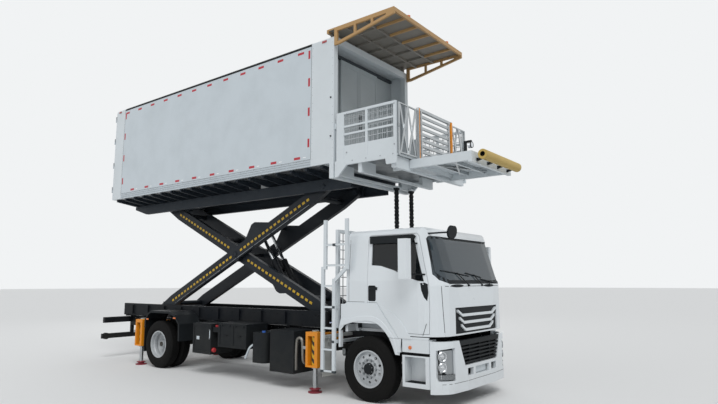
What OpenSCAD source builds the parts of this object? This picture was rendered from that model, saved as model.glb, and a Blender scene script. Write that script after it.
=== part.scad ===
// High-lift catering truck: a two-axle cab-over chassis, a scissor lift, a raised box body,
// a loading platform with an extending bridge under a canopy, and four stabiliser legs.
// All sizes are millimetres. Drawn with x = 0 at the front axle, +X forward and +Z up, then
// shifted so that the origin lies on the ground in the middle of the whole truck.

/* [Chassis] */
// Distance between the front and rear axles
wheelbase = 6000; // [5600:10:6100]
// Inner face of each chassis side rail, from the centre line
rail_y = 350; // [340:1:360]
// Width of a side rail's flanges
rail_flange = 80; // [70:1:85]
// Depth of the chassis side rails
rail_depth = 250; // [220:1:270]
// Height of the top of the side rails above the ground
rail_top = 1050; // [1040:1:1050]
// Thickness of the rail's rolled steel
rail_t = 10; // [8:1:14]
// Rear end of the chassis and lift base
frame_rear = -8550; // [-8700:10:-8500]
// Front end of the chassis rails
frame_front = 1240; // [1200:1:1250]

/* [Wheels] */
// Outer diameter of a tyre
tyre_d = 1050; // [1030:1:1056]
// Width of a front tyre
tyre_w = 280; // [260:1:285]
// Width of each rear tyre
twin_w = 250; // [240:1:262]
// Diameter of the rim where the tyre sits
rim_d = 572; // [560:1:590]
// Outer face of the outermost tyres, from the centre line
track_out = 1222; // [1215:1:1230]
// Kingpin axis, from the centre line
kingpin_y = 930; // [920:1:935]

/* [Lift] */
// Pin to pin length of a scissor arm
arm_l = 5930; // [5900:1:5960]
// Depth of a scissor arm at its middle
arm_depth = 280; // [250:1:290]
// Height of the lower pins
low_pin_z = 1300; // [1295:1:1305]
// Height between the lower and the upper pins, as raised
lift_rise = 2500; // [2400:1:2560]
// The front pins, behind the front axle
front_pin_x = -1550; // [-1560:1:-1540]
// Diameter of the scissor pins
pin_d = 80; // [60:1:84]
// Diameter of the rollers at the rear ends of the arms
roller_d = 100; // [90:1:104]
// Inner face of the inner pair of arms, from the centre line
inner_arm_y = 300; // [295:1:305]
// Thickness of an arm
arm_t = 100; // [90:1:104]
// Gap between an inner arm and an outer arm
arm_gap = 20; // [12:1:24]
// Outer face of the lift base rails and of the body's rails
lift_rail_y = 620; // [618:1:640]
// Radius of a lift cylinder's barrel
barrel_r = 70; // [55:1:74]
// Radius of a lift cylinder's rod
ram_r = 38; // [30:1:42]

/* [Body] */
// Width of the box body
box_w = 2500; // [2480:2:2510]
// Rear end of the box body
box_rear = -8340; // [-8380:1:-8320]
// Front end of the box body
box_front = -730; // [-735:1:-728]
// Height of the box floor's underside, as raised
box_z = 4060; // [4060:1:4070]
// Height of the box roof's top, as raised
box_top = 6470; // [6400:1:6500]
// Thickness of the body's side walls
wall_t = 50; // [40:1:60]
// Thickness of the body's floor
floor_t = 80; // [60:1:90]
// Thickness of the body's roof
roof_t = 60; // [40:1:80]
// Length of the rear end frame
rear_frame_l = 400; // [300:1:450]
// Length of the front end frame
front_frame_l = 560; // [500:1:580]
// Thickness of a door leaf
leaf_t = 40; // [35:1:42]

/* [Platform] */
// Front edge of the loading platform
deck_front = 620; // [600:1:630]
// Height of the platform floor, as raised
deck_z = 4050; // [4045:1:4055]
// Height of the side guards' top rail, as raised
guard_top = 4950; // [4900:1:4955]
// Outer half width of the bridge
bridge_y = 780; // [770:1:784]
// Front end of the bridge deck
bridge_front = 1750; // [1700:1:1760]
// Diameter of the foam bumper roller
bumper_d = 160; // [140:1:164]
// Front tip of the canopy
canopy_front = 610; // [560:1:615]
// Height of the canopy's top
canopy_top = 6620; // [6600:1:6640]

/* [Cab] */
// Rear face of the cab
cab_rear = -450; // [-460:1:-440]
// Front face of the cab at its widest point
cab_front = 1400; // [1395:1:1405]
// Height of the cab's roof
cab_top = 2830; // [2800:1:2835]
// Height of the cab's lower edge
cab_low = 1100; // [1095:1:1105]
// Half width of the cab
cab_y = 1220; // [1215:1:1225]
// Thickness of the cab's walls and doors
cab_t = 50; // [40:1:55]
// Running gap around doors
door_gap = 6; // [5:1:8]

/* [Hidden] */

// Running clearances
pin_clear = 0.5;
slide_clear = 5;
seat_clear = 0.3;

// The scissor's geometry at rest
arm_angle = asin(lift_rise / arm_l);
arm_reach = arm_l * cos(arm_angle);
rear_pin_x = front_pin_x - arm_reach;
high_pin_z = low_pin_z + lift_rise;
centre_x = front_pin_x - arm_reach / 2;
centre_z = low_pin_z + lift_rise / 2;
// The lowered lift stands this high, pin to pin
low_rise = 300;
low_reach = sqrt(arm_l * arm_l - low_rise * low_rise);
outer_arm_y = inner_arm_y + arm_t + arm_gap;
arm_end_r = 100;
base_top = low_pin_z + roller_d / 2 + slide_clear + 25;
base_bottom = rail_top + 30;
under_z = high_pin_z - arm_end_r;
under_top = under_z + 230;
// The tracks along which the rear rollers run
track_x0 = front_pin_x - low_reach - roller_d;
track_x1 = rear_pin_x + roller_d;
lift_web = 12;
roller_in = lift_rail_y - 75;
roller_out = lift_rail_y - lift_web - slide_clear;

// Where the cylinders are pinned: distance from the centre pin along an arm, and above it
eye_s = 600;
eye_h = 320;
foot_s = 1500;
foot_h = -150;
ram_y = 150;
ram_eye = arm_point(centre_x, centre_z, arm_angle, eye_s, eye_h);
ram_foot = arm_point(centre_x, centre_z, -arm_angle, foot_s, foot_h);
ram_l = norm(ram_eye - ram_foot);
ram_tilt = atan2(ram_eye[1] - ram_foot[1], ram_eye[0] - ram_foot[0]);

// Box body
box_y = box_w / 2;
floor_top = box_z + floor_t;
wall_x0 = box_rear + rear_frame_l;
wall_x1 = box_front - front_frame_l;
side_rail_top = box_z + 130;
roof_z = box_top - roof_t;
bulkhead_x = box_front - 450;
bulkhead_t = 40;
opening_y = 540;
opening_top = box_top - 230;
// The floor ends at the sill behind the platform; the rear doorway has deeper jambs
sill_x = bulkhead_x + bulkhead_t + leaf_t + 20;
jamb_l = 90;
jamb_w = 75;

// Platform
deck_rear = box_front + 30;
deck_t = 30;
deck_low = deck_z - 230;
bridge_beam_t = 60;
bridge_rear = 240;
bridge_top = deck_z - deck_t - 10;
bridge_low = bridge_top - 150;
guard_post = 50;

// Cab
hinge_x = 1300;
hinge_z = 760;
hinge_r = 20;
door_front = 1158;
bumper_front = 1450;

// The foam roller ahead of the bridge
roller_core = 30;
roller_x = bridge_front + 70 + bumper_d / 2;
roller_z = bridge_top - 65;

// The shift that puts the origin at the middle of the truck
front_end = roller_x + bumper_d / 2;
mid_x = (front_end + frame_rear) / 2;

// Points and outlines

// A point at distance s along a line through (x, z) at an angle, and h above that line
function arm_point(x, z, angle, s, h) = [
    x + s * cos(angle) - h * sin(angle),
    z + s * sin(angle) + h * cos(angle)
];

function unit(v) = v / norm(v);

// The inward normal of an edge, for points that run anticlockwise
function edge_normal(a, b) = let (d = unit(b - a)) [-d[1], d[0]];

// The same outline moved inwards by t, or outwards where t is negative
function inset_poly(p, t) = [
    for (i = [0 : len(p) - 1])
        let (n = len(p), a = p[(i + n - 1) % n], b = p[i], c = p[(i + 1) % n],
             u = edge_normal(a, b), v = edge_normal(b, c))
        b + (u + v) * t / (1 + u * v)
];

// An arc of points about a centre
function arc_points(cx, cy, rx, ry, a0, a1, n) = [
    for (i = [0 : n]) let (a = a0 + (a1 - a0) * i / n) [cx + rx * cos(a), cy + ry * sin(a)]
];

// Shapes

module in_frame() translate([-mid_x, 0, 0]) children();

module block(a, b) translate(a) cube(b - a);

module both_sides() {
    children();
    mirror([0, 1, 0]) children();
}

// The truck's right side is at negative y
module on_side(side) mirror([0, side < 0 ? 1 : 0, 0]) children();

// An outline in x and z, from y0 to y1
module side_plate(points, y0, y1)
    translate([0, y1, 0]) rotate([90, 0, 0]) linear_extrude(y1 - y0) polygon(points);

// An outline in y and z, from x0 to x1
module cross_plate(points, x0, x1)
    translate([x0, 0, 0]) rotate([90, 0, 90]) linear_extrude(x1 - x0) polygon(points);

// An outline in x and y, from z0 to z1
module flat_plate(points, z0, z1)
    translate([0, 0, z0]) linear_extrude(z1 - z0) polygon(points);

module rod_x(y, z, r, x0, x1, fn = 32)
    translate([x0, y, z]) rotate([0, 90, 0]) cylinder(h = x1 - x0, r = r, $fn = fn);

module rod_y(x, z, r, y0, y1, fn = 32)
    translate([x, y1, z]) rotate([90, 0, 0]) cylinder(h = y1 - y0, r = r, $fn = fn);

module rod_z(x, y, r, z0, z1, fn = 32)
    translate([x, y, z0]) cylinder(h = z1 - z0, r = r, $fn = fn);

// A straight bar of square section in the plane of x and z, from a to b
module strut(a, b, w, y0, y1) {
    d = b - a;
    translate([a[0], 0, a[1]])
        rotate([0, -atan2(d[1], d[0]), 0])
            block([0, y0, -w / 2], [norm(d), y1, w / 2]);
}

// A channel that is open towards the centre line, with its web at y1
module channel(x0, x1, y0, y1, z0, z1, t, web)
    difference() {
        block([x0, y0, z0], [x1, y1, z1]);
        block([x0 - 1, y0 - 1, z0 + t], [x1 + 1, y1 - web, z1 - t]);
    }

// Chassis

cross_members = [-900, -1900, -2450, -3500, -4300, -5100, -7600, -8450];

module chassis_frame() in_frame() color("#20252c") {
    rail_out = rail_y + rail_flange;
    web_y = rail_out - rail_t;
    both_sides() {
        difference() {
            channel(frame_rear, frame_front, rail_y, rail_out,
                    rail_top - rail_depth, rail_top, rail_t, rail_t);
            for (x = [-8000 : 500 : -2200])
                rod_y(x, rail_top - rail_depth / 2, 22, rail_y - 1, rail_out + 1, 20);
        }
        // Cab hinge bracket and its pin
        side_plate([[frame_front - 190, rail_top - 240], [frame_front, hinge_z - 60],
                    [hinge_x + 42, hinge_z - 45], [hinge_x + 42, hinge_z + 40], [frame_front, rail_top - 50],
                    [frame_front - 190, rail_top - 10]], rail_out, rail_out + 40);
        rod_y(hinge_x, hinge_z, hinge_r, rail_out + 1, rail_out + 95);
        // Rear cab rest
        block([-420, rail_y, rail_top], [-340, rail_out, cab_low - 40]);
    }
    block([-430, -rail_out, cab_low - 60], [-330, rail_out, cab_low - 20]);
    both_sides() block([-420, rail_y - 20, cab_low - 20], [-340, rail_out, cab_low - seat_clear]);
    for (x = cross_members)
        difference() {
            block([x, -web_y, rail_top - 190], [x + 90, web_y, rail_top - 60]);
            both_sides() rod_x(rail_y / 2, rail_top - 125, 45, x - 1, x + 91);
        }
    block([frame_front - 80, -web_y, rail_top - 220], [frame_front, web_y, rail_top - 60]);
    // Rear bar on its hangers, with round lamp housings, and the blocks above it
    block([frame_rear, -cab_y, 500], [frame_rear + 80, cab_y, 620]);
    both_sides() {
        block([frame_rear, rail_y, 600], [frame_rear + 60, rail_out, rail_top - rail_depth + 1]);
        rod_x(1120, 560, 80, frame_rear, frame_rear + 100);
        block([frame_rear, rail_out - 1, 895], [frame_rear + 100, 1190, 1035]);
    }
}

module lift_base() in_frame() color("#262b31") {
    both_sides() {
        channel(frame_rear, -1400, lift_rail_y - 80, lift_rail_y, base_bottom, base_top, 25, lift_web);
        // Track for the rear roller
        block([track_x0, lift_rail_y - 80, low_pin_z - roller_d / 2 - 25],
              [track_x1, lift_rail_y - lift_web, low_pin_z - roller_d / 2 - seat_clear]);
        for (x = [track_x0, (track_x0 + track_x1) / 2, track_x1 - 20])
            block([x, lift_rail_y - 80, base_bottom], [x + 20, lift_rail_y, low_pin_z - roller_d / 2 - 1]);
        // Front pivot with its fixed pin
        block([front_pin_x - 140, lift_rail_y - 80, base_bottom],
              [front_pin_x + 140, lift_rail_y, base_top]);
        rod_y(front_pin_x, low_pin_z, pin_d / 2, inner_arm_y - 12, lift_rail_y);
        rod_y(front_pin_x, low_pin_z, pin_d / 2 + 18, inner_arm_y - 26, inner_arm_y - slide_clear);
        rod_y(front_pin_x, low_pin_z, 62, inner_arm_y + arm_t + slide_clear, lift_rail_y - 80);
        for (x = [-8100 : 700 : -1900])
            block([x, lift_rail_y, base_bottom + 30], [x + 16, lift_rail_y + 40, base_top - 30]);
    }
    for (x = [-8500, -7700, -6350, -5500, -4800, -4100, -3450, -2500, -1520])
        block([x, -lift_rail_y + 20, rail_top], [x + 90, lift_rail_y - 20, rail_top + 95]);
}

// Four leaves of a spring: each is shorter than the one above, and its ends curve up
module leaf_spring(x, z, half, y) {
    for (i = [0 : 3]) {
        end = half * (1 - 0.2 * i);
        end_z = z + 95 - 32 * i;
        mid_z = z - 16 * i;
        side_plate([[x - end, end_z], [x - 90, mid_z], [x + 90, mid_z], [x + end, end_z],
                    [x + end, end_z + 13], [x + 90, mid_z + 16], [x - 90, mid_z + 16],
                    [x - end, end_z + 13]], y, y + 70);
    }
}

module front_axle() in_frame() color("#2b2f34") {
    hub_z = tyre_d / 2;
    beam = [[-kingpin_y + 30, hub_z - 40], [-620, hub_z - 60], [-520, hub_z - 150],
            [520, hub_z - 150], [620, hub_z - 60], [kingpin_y - 30, hub_z - 40],
            [kingpin_y - 30, hub_z + 40], [600, hub_z + 20], [500, hub_z - 60],
            [-500, hub_z - 60], [-600, hub_z + 20], [-kingpin_y + 30, hub_z + 40]];
    difference() {
        cross_plate(beam, -45, 45);
        both_sides() rod_z(0, kingpin_y, 60, 0, 1000);
    }
    both_sides() {
        difference() {
            rod_z(0, kingpin_y, 60, hub_z - 50, hub_z + 50);
            rod_z(0, kingpin_y, 22 + pin_clear, 0, 1000);
        }
        leaf_spring(0, hub_z - 58, 720, rail_y + 10);
        block([-60, rail_y + 5, hub_z - 60], [60, rail_y + 85, hub_z - 40]);
        for (s = [-1, 1])
            side_plate([[s * 720 - 35, hub_z + 20], [s * 720 + 35, hub_z + 20],
                        [s * 720 + 60, rail_top - rail_depth], [s * 720 - 60, rail_top - rail_depth]],
                       rail_y + 5, rail_y + 75);
    }
}

module rear_axle() in_frame() translate([-wheelbase, 0, 0]) color("#2b2f34") {
    hub_z = tyre_d / 2;
    spindle_in = track_out - 2 * twin_w - 45;
    rod_y(0, hub_z, 75, -spindle_in, spindle_in);
    both_sides() {
        rod_y(0, hub_z, 52, spindle_in - 10, track_out - 90);
        rod_y(0, hub_z, 195, spindle_in - 40, spindle_in);
        leaf_spring(0, hub_z + 128, 700, rail_y + 5);
        block([-70, rail_y, hub_z + 60], [70, rail_y + 80, hub_z + 128]);
        for (s = [-1, 1])
            side_plate([[s * 690 - 35, hub_z + 190], [s * 690 + 35, hub_z + 190],
                        [s * 690 + 50, rail_top - rail_depth], [s * 690 - 50, rail_top - rail_depth]],
                       rail_y + 5, rail_y + 75);
    }
    // Differential housing and propeller shaft
    translate([0, 0, hub_z]) rotate([0, 90, 0]) rotate_extrude($fn = 48)
        polygon([[0, -190], [90, -170], [175, -90], [205, 0], [175, 90], [100, 180], [70, 260], [0, 260]]);
    strut([250, hub_z + 5], [wheelbase - 1060, 700], 90, -45, 45);
}

module engine() in_frame() color("#3a3f44") {
    difference() {
        side_plate([[-1050, 580], [-350, 560], [-250, 540], [700, 540], [700, 1250],
                    [-150, 1250], [-300, 840], [-1050, 820]], -300, 300);
        both_sides() for (x = [-150 : 140 : 600])
            block([x, 260, 700], [x + 50, 301, 1150]);
    }
    // Mounts that reach into the side rails
    both_sides() for (x = [-780, 520])
        block([x, 299, 730], [x + 80, rail_y - 20, 880]);
    both_sides() for (x = [-780, 520])
        block([x, 299, 830], [x + 80, rail_y + rail_flange - rail_t - seat_clear, 880]);
}

// Outline of the bumper and of the cab's nose, in x and y, anticlockwise from the rear right
function nose_plan(rear, front, half) = concat(
    [[rear, -half], [front - 400, -half]],
    arc_points(front - 400, -half + 400, 400, 400, -75, -15, 4),
    [[front + 25, -half * 0.42], [front + 25, half * 0.42]],
    arc_points(front - 400, half - 400, 400, 400, 15, 75, 4),
    [[front - 400, half], [rear, half]]
);

lamp_z0 = 450;
lamp_z1 = 960;
lamp_y0 = 870;
bumper_top = 1030;
bumper_low = 255;

bumper_rear = 1160;
bumper_wall = 55;
bumper_plan = nose_plan(900, bumper_front - 25, cab_y);
plate_y = 250;
// The opening of the lower grille, in y and z
grille_low = [[-590, 640], [590, 640], [750, bumper_top + 1], [-750, bumper_top + 1]];

module bumper() in_frame() color("#e6e9ea") {
    difference() {
        flat_plate(bumper_plan, bumper_low, bumper_top);
        translate([0, 0, -1]) flat_plate(inset_poly(bumper_plan, bumper_wall), bumper_low, bumper_top + 2);
        // Cut off at the steps, and open at the lamps, the grille, the plate and the tow hooks
        block([800, -cab_y - 1, bumper_low - 1], [bumper_rear, cab_y + 1, bumper_top + 1]);
        cross_plate(grille_low, bumper_rear - 1, 1600);
        both_sides() {
            side_plate([[1240, lamp_z0 + 60], [1262, lamp_z0], [1600, lamp_z0 - 10],
                        [1600, lamp_z1], [1240, lamp_z1 - 60]], lamp_y0, cab_y + 10);
            block([1300, 330, 480], [1600, 520, 590]);
        }
        block([1300, -plate_y, 470], [1600, plate_y, 590]);
    }
    both_sides() {
        block([frame_front - 60, rail_y + 20, 600], [1352 - seat_clear, rail_y + 60, 730]);
        block([frame_front, rail_y + 10, 640], [1300, rail_y + 70, 830]);
    }
    block([1290, -700, 602], [1400, 700, 640]);
}

module lower_grille() in_frame() color("#15181b") {
    intersection() {
        union() {
            for (i = [0 : 4]) block([1365, -750, 660 + 58 * i], [1424, 750, 686 + 58 * i]);
            for (y = [-380, -10, 360]) block([1362, y, 642], [1410, y + 20, 950]);
            block([1352, -750, 640], [1366, 750, 1020]);
            block([1366, -750, 945], [1416, 750, 1020]);
        }
        cross_plate(inset_poly(grille_low, seat_clear), 1300, 1500);
    }
    // Dark panel behind the blank plate and the tow hook recesses
    block([1352, -524, 464], [1372, 524, 602 - seat_clear]);
    block([1371, -plate_y - 12, 464], [bumper_front - bumper_wall - seat_clear, plate_y + 12, 602 - seat_clear]);
}

// A slice of the bumper's form at one lamp, between two insets
module lamp_space(z0, z1, t0, t1) {
    intersection() {
        difference() {
            flat_plate(inset_poly(bumper_plan, t0), z0, z1);
            flat_plate(inset_poly(bumper_plan, t1), z0 - 1, z1 + 1);
        }
        block([1266, lamp_y0 + seat_clear, 0], [1600, cab_y + 10, 2000]);
    }
}

module headlamps() in_frame() both_sides() {
    color("#2a2d30") lamp_space(lamp_z0 + 4, lamp_z1 - 64, 34, 54);
    color("#dfe6ea") {
        for (lamp = [[810, 66], [650, 62]])
            translate([1289, 1070, lamp[0]]) rotate([0, 90, 38]) cylinder(h = 36, r = lamp[1], $fn = 40);
        lamp_space(lamp_z0 + 14, lamp_z0 + 90, 8, 40);
    }
}

step_x0 = 660;
step_x1 = 1154;

module cab_steps() in_frame() color("#e6e9ea") both_sides() {
    difference() {
        flat_plate([[step_x0, cab_y - 230], [step_x1, cab_y - 230], [step_x1, cab_y],
                    [step_x0 + 20, cab_y], [step_x0, cab_y - 20]], 330, bumper_top + 20);
        // The step, open to the side, below a dark gap
        block([step_x0 + 60, cab_y - 190, 400], [step_x1 - 60, cab_y + 1, 785]);
        block([step_x0 - 1, cab_y - 50, 808], [step_x1 + 1, cab_y + 1, 852]);
        block([step_x0 + 40, cab_y - 231, 300], [step_x1 - 40, cab_y - 200, 1000]);
    }
    for (x = [step_x0 + 120, step_x0 + 270])
        block([x, rail_y + rail_flange, 860], [x + 80, cab_y - 199, 940]);
    // The lip's lower end stays behind when the cab tilts
    side_plate([[600, 842], [655, 842], [640, 970], [591, 1050], [509, 1050], [560, 960]],
               cab_y - 45, cab_y + 22);
    side_plate([[600, 842], [665, 842], [665, 1050], [509, 1050], [560, 960]], cab_y - 45, cab_y - 21);
    color("#c8781e") rod_y(825, 925, 28, cab_y - 1, cab_y + 12);
}

module mudguards() in_frame() {
    // White flaps behind the front wheels
    color("#d7dadb") both_sides() {
        block([-1000, 900, 300], [-990, 1200, 960]);
        block([-990, 1040, 880], [-960, 1080, 960]);
        block([-1000, rail_y + rail_flange, 960], [-940, 1200, 1010]);
    }
    // Rear guards over the twin wheels
    color("#1b1e21") translate([-wheelbase, 0, 0]) both_sides() {
        inner = lift_rail_y + 42;
        outer = track_out + 13;
        skin = 12;
        lip = 48;
        difference() {
            side_plate(guard_outline(0), inner, outer);
            side_plate(guard_outline(skin), inner - 1, outer - skin);
            side_plate(guard_outline(lip), inner - 1, outer + 1);
        }
        for (x = [-300, 300]) {
            block([x - 25, rail_y + rail_flange, rail_top - 60], [x + 25, inner + 18, rail_top - 5]);
            block([x - 25, inner, rail_top - 60], [x + 25, inner + 18, guard_top_z - 5]);
        }
        // Flap below the guard's rear end
        block([guard_rear, 700, 330], [guard_rear + 10, outer - skin, 905]);
    }
}

guard_top_z = 1275;
guard_rear = -560;

// The rear guard's outline with its arch cut back by t, anticlockwise from the rear bottom
function guard_outline(t) = [
    [guard_rear + t, 880 - t], [830 - t, 640 - t], [810 - t, 1010], [620 - t * 0.7, 1200 - t * 0.7],
    [430, guard_top_z - t], [-320, guard_top_z - t], [-450 + t * 0.6, 1205 - t * 0.6],
    [guard_rear + t, 1050]
];

module side_boxes() in_frame() {
    inner = rail_y + rail_flange;
    // Exhaust silencer box and its curved pipe
    color("#2d3134") block([-2310, -1215, 280], [-1690, -650, 1040]);
    color("#b9bfc4") {
        rod_x(-950, 560, 60, -1690, -1560);
        translate([-1560, -950, 700]) rotate([90, 0, 0]) rotate([0, 0, -90])
            rotate_extrude(angle = 90, $fn = 48) translate([140, 0]) circle(r = 60, $fn = 32);
        rod_z(-1420, -950, 60, 700, 860);
    }
    // Urea tank with its cap
    color("#2b2e31") {
        for (x = [-2770, -2610]) rod_z(x, -1060, 130, 390, 960, 40);
        block([-2770, -1190, 390], [-2610, -650, 960]);
        block([-2900, -1060, 390], [-2480, -650, 960]);
    }
    color("#2f62b0") rod_z(-2620, -1090, 36, 960, 990);
    // Battery box, hydraulic tank and tool box
    color("#23272b") difference() {
        block([-3860, -1215, 620], [-2990, -650, 1100]);
        for (x = [-3800, -3380]) block([x, -1216, 660], [x + 360, -1207, 1060]);
    }
    color("#262a2e") difference() {
        block([-4700, -1215, 440], [-4090, -650, 1065]);
        block([-4660, -1216, 500], [-4130, -1207, 1010]);
    }
    color("#a82a28") for (x = [-3960, -4030]) rod_z(x, -1120, 22, 1000, 1040, 20);
    color("#23272b") block([-4075, -1180, 900], [-3900, -650, 1000]);
    // Brackets to the side rail
    color("#1e2226") for (x = [-2250, -1810, -2720, -3760, -3150, -4620, -4200, -4020])
        block([x, -652, 840], [x + 60, -inner, 900]);
    // Air tanks and battery box on the left side
    color("#2a2e33") {
        for (x = [-4400, -3600]) rod_x(930, 700, 135, x, x + 640, 40);
        block([-2900, 650, 480], [-2200, 1200, 1020]);
    }
    color("#1e2226") for (x = [-4300, -3900, -3500, -3100, -2800, -2350])
        block([x, inner, 820], [x + 60, 935, 880]);
}

module fuel_tank() in_frame() color("#aeb4b8") {
    cross_plate([[660, 420], [700, 380], [1160, 380], [1200, 420], [1200, 960], [1160, 1000],
                 [700, 1000], [660, 960]], -2080, -1560);
    rod_z(-1650, 1080, 45, 1000, 1030);
    color("#1e2226") for (x = [-1990, -1710]) {
        block([x, rail_y + rail_flange, 820], [x + 60, 661, 900]);
        difference() {
            cross_plate([[650, 370], [1210, 370], [1210, 1010], [650, 1010]], x, x + 60);
            cross_plate([[661, 420], [700, 380.5], [1160, 380.5], [1199.5, 420], [1199.5, 960],
                         [1160, 999.5], [700, 999.5], [661, 960]], x - 1, x + 61);
        }
    }
}

rack_x0 = -715;
rack_x1 = -655;
rack_top = 2850;
ladder_y0 = 1272;

// Heights of the rungs, from the lowest
rung_z = [for (i = [0 : 6]) 430 + 358 * i];

module ladder() in_frame() color("#e4e7e8") mirror([0, 1, 0]) {
    y0 = ladder_y0;
    y1 = y0 + 40;
    for (i = [0 : 6])
        block([i < 5 ? -886 : -836, y0, rung_z[i] - 16], [i < 5 ? -694 : -414, y1 - 5, rung_z[i] + 16]);
    // Upper run
    for (x = [-900, -415]) block([x, y0, 2150], [x + 65, y1, 3020]);
    // Step back to the narrower lower run
    strut([-375, 2190], [-655, 1955], 60, y0, y1);
    block([-950, y0, 410], [-885, y1, 2200]);
    block([-695, y0, 410], [-630, y1, 1990]);
}

module mesh_rack() in_frame() color("#dfe3e4") {
    // Frame behind the cab
    both_sides() {
        block([rack_x0, 1140, 1150], [rack_x1, 1200, rack_top]);
        block([rack_x0, rail_y, rail_top], [rack_x1, rail_y + 70, rack_top - 60]);
    }
    block([rack_x0, -1200, rack_top - 60], [rack_x1, 1200, rack_top]);
    block([rack_x0, -1200, 1150], [rack_x1, 1200, 1210]);
    // Stand-offs that carry the ladder
    for (z = [rung_z[3], rung_z[6]])
        block([rack_x0, -ladder_y0, z - 25], [rack_x1, -1199, z + 25]);
    block([-700, -ladder_y0, 900], [-640, -rail_y - rail_flange, 950]);
    // Mesh of bars in the two outer fields
    color("#4a5055") both_sides() {
        for (y = [540 : 120 : 1090]) block([rack_x0 + 22, y, 1210], [rack_x0 + 34, y + 12, rack_top - 60]);
        for (z = [1370 : 160 : 2760]) block([rack_x0 + 30, rail_y + 70, z], [rack_x0 + 42, 1140, z + 12]);
    }
}

front_leg_x = -1240;
rear_leg_x = -6800;
leg_y = 1120;

module stabilizer_beams() in_frame() for (x = [front_leg_x, rear_leg_x]) {
    color("#d98e12") {
        difference() {
            block([x - 75, -leg_y, rail_top - 170], [x + 75, leg_y, rail_top - 40]);
            // Split at the webs of the side rails
            both_sides() block([x - 76, rail_y + rail_flange - rail_t, rail_top - rail_depth],
                               [x + 76, rail_y + rail_flange, rail_top + 1]);
            both_sides() rod_z(x, leg_y, 60, 300, 1200);
        }
        // Slotted housing, through which the leg's tube shows
        both_sides() difference() {
            block([x - 140, leg_y - 40, 440], [x + 140, leg_y + 110, 1050]);
            block([x - 90, leg_y - 41, 470], [x + 70, leg_y + 111, 980]);
            rod_z(x, leg_y, 60, 300, 1200);
        }
    }
    color("#d8b020") both_sides() difference() {
        rod_z(x, leg_y, 68, 430, 1060, 40);
        rod_z(x, leg_y, 42 + pin_clear, 400, 1030, 40);
    }
}

module leg(x, side) in_frame() on_side(side) {
    color("#c8ccd0") rod_z(x, leg_y, 42, 60, 680, 40);
    color("#8a1528") translate([x, leg_y, 0]) rotate_extrude($fn = 48)
        polygon([[0, 0], [120, 0], [125, 8], [125, 22], [70, 30], [70, 52], [100, 60], [100, 72],
                 [50, 84], [0, 84]]);
}

module leg_front_right() leg(front_leg_x, -1);
module leg_front_left() leg(front_leg_x, 1);
module leg_rear_right() leg(rear_leg_x, -1);
module leg_rear_left() leg(rear_leg_x, 1);

// Two link chains that carry the hoses up from the chassis to the platform
chain_x = -590;
chain_top = deck_low - seat_clear;
chain_low = 1150;
chain_pitch = 160;
chain_y = [560, 1115];

module hose_chains() in_frame() color("#1c1f22") {
    for (y = chain_y) {
        for (z = [chain_low : chain_pitch : chain_top - chain_pitch])
            block([chain_x - 28, y - 50, z], [chain_x + 28, y + 50, z + chain_pitch - 14]);
        block([chain_x - 16, y - 38, chain_low], [chain_x + 16, y + 38, chain_top]);
    }
    block([chain_x - 40, rail_y + rail_flange, chain_low - 20], [chain_x + 40, 1170, chain_low]);
    block([chain_x - 40, rail_y + rail_flange, rail_top - 100], [chain_x + 40, 480, chain_low]);
}

// Wheels: profiles are drawn as radius and offset, then turned to lie along y

// A tyre's section, between two offsets
module tyre_ring(y0, y1) {
    r = tyre_d / 2;
    b = rim_d / 2;
    s = b + 1 + seat_clear;
    rotate([-90, 0, 0]) rotate_extrude($fn = 72)
        polygon([[s, y0 + 31], [b + 16, y0 + 25], [b + 40, y0 + 6], [r - 130, y0], [r - 60, y0 + 6],
                 [r - 18, y0 + 22], [r - 4, y0 + 40], [r, y0 + 70], [r, y1 - 70],
                 [r - 4, y1 - 40], [r - 18, y1 - 22], [r - 60, y1 - 6], [r - 130, y1],
                 [b + 40, y1 - 6], [b + 16, y1 - 25], [s, y1 - 31], [s, y1 - 60], [b + 60, y1 - 40],
                 [r - 60, y1 - 40], [r - 40, y1 - 60], [r - 40, y0 + 60], [r - 60, y0 + 40],
                 [b + 60, y0 + 40], [s, y0 + 60]]);
}

// The rim's barrel, from one flange to the other
module rim_barrel(y0, y1) {
    b = rim_d / 2;
    rotate([-90, 0, 0]) rotate_extrude($fn = 72)
        polygon([[b + 14, y0], [b + 14, y0 + 8], [b + 1, y0 + 16], [b + 1, y0 + 62],
                 [b - 14, y0 + 80], [b - 14, y1 - 80], [b + 1, y1 - 62], [b + 1, y1 - 16],
                 [b + 14, y1 - 8], [b + 14, y1], [b - 8, y1], [b - 14, y1 - 62],
                 [b - 26, y1 - 86], [b - 26, y0 + 86], [b - 14, y0 + 62], [b - 8, y0]]);
}

// The rim's disc with its hand holes and ring of wheel studs
module rim_disc(y_edge, y_face, out) {
    b = rim_d / 2;
    studs = 10;
    difference() {
        rotate([-90, 0, 0]) rotate_extrude($fn = 72)
            polygon([[b - 12, y_edge], [b - 60, y_edge + 0.35 * (y_face - y_edge)],
                     [175, y_face], [60, y_face], [60, y_face - out * 22], [168, y_face - out * 22],
                     [b - 75, y_edge + 0.35 * (y_face - y_edge) - out * 16],
                     [b - 20, y_edge - out * 24]]);
        for (i = [0 : studs - 1]) rotate([0, 36 * i + 18, 0])
            translate([212, 0, 0]) rotate([90, 0, 0]) cylinder(h = 4000, r = 22, center = true, $fn = 24);
    }
    for (i = [0 : studs - 1]) rotate([0, 36 * i, 0])
        rod_y(140, 0, 15, min(y_face - 4, y_face + out * 32), max(y_face - 4, y_face + out * 32), 16);
}

front_in = track_out - tyre_w;
spindle_r = 46;

module front_tyre(side) in_frame() translate([0, 0, tyre_d / 2]) color("#1d1e1f")
    on_side(side) tyre_ring(front_in, track_out);

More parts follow.
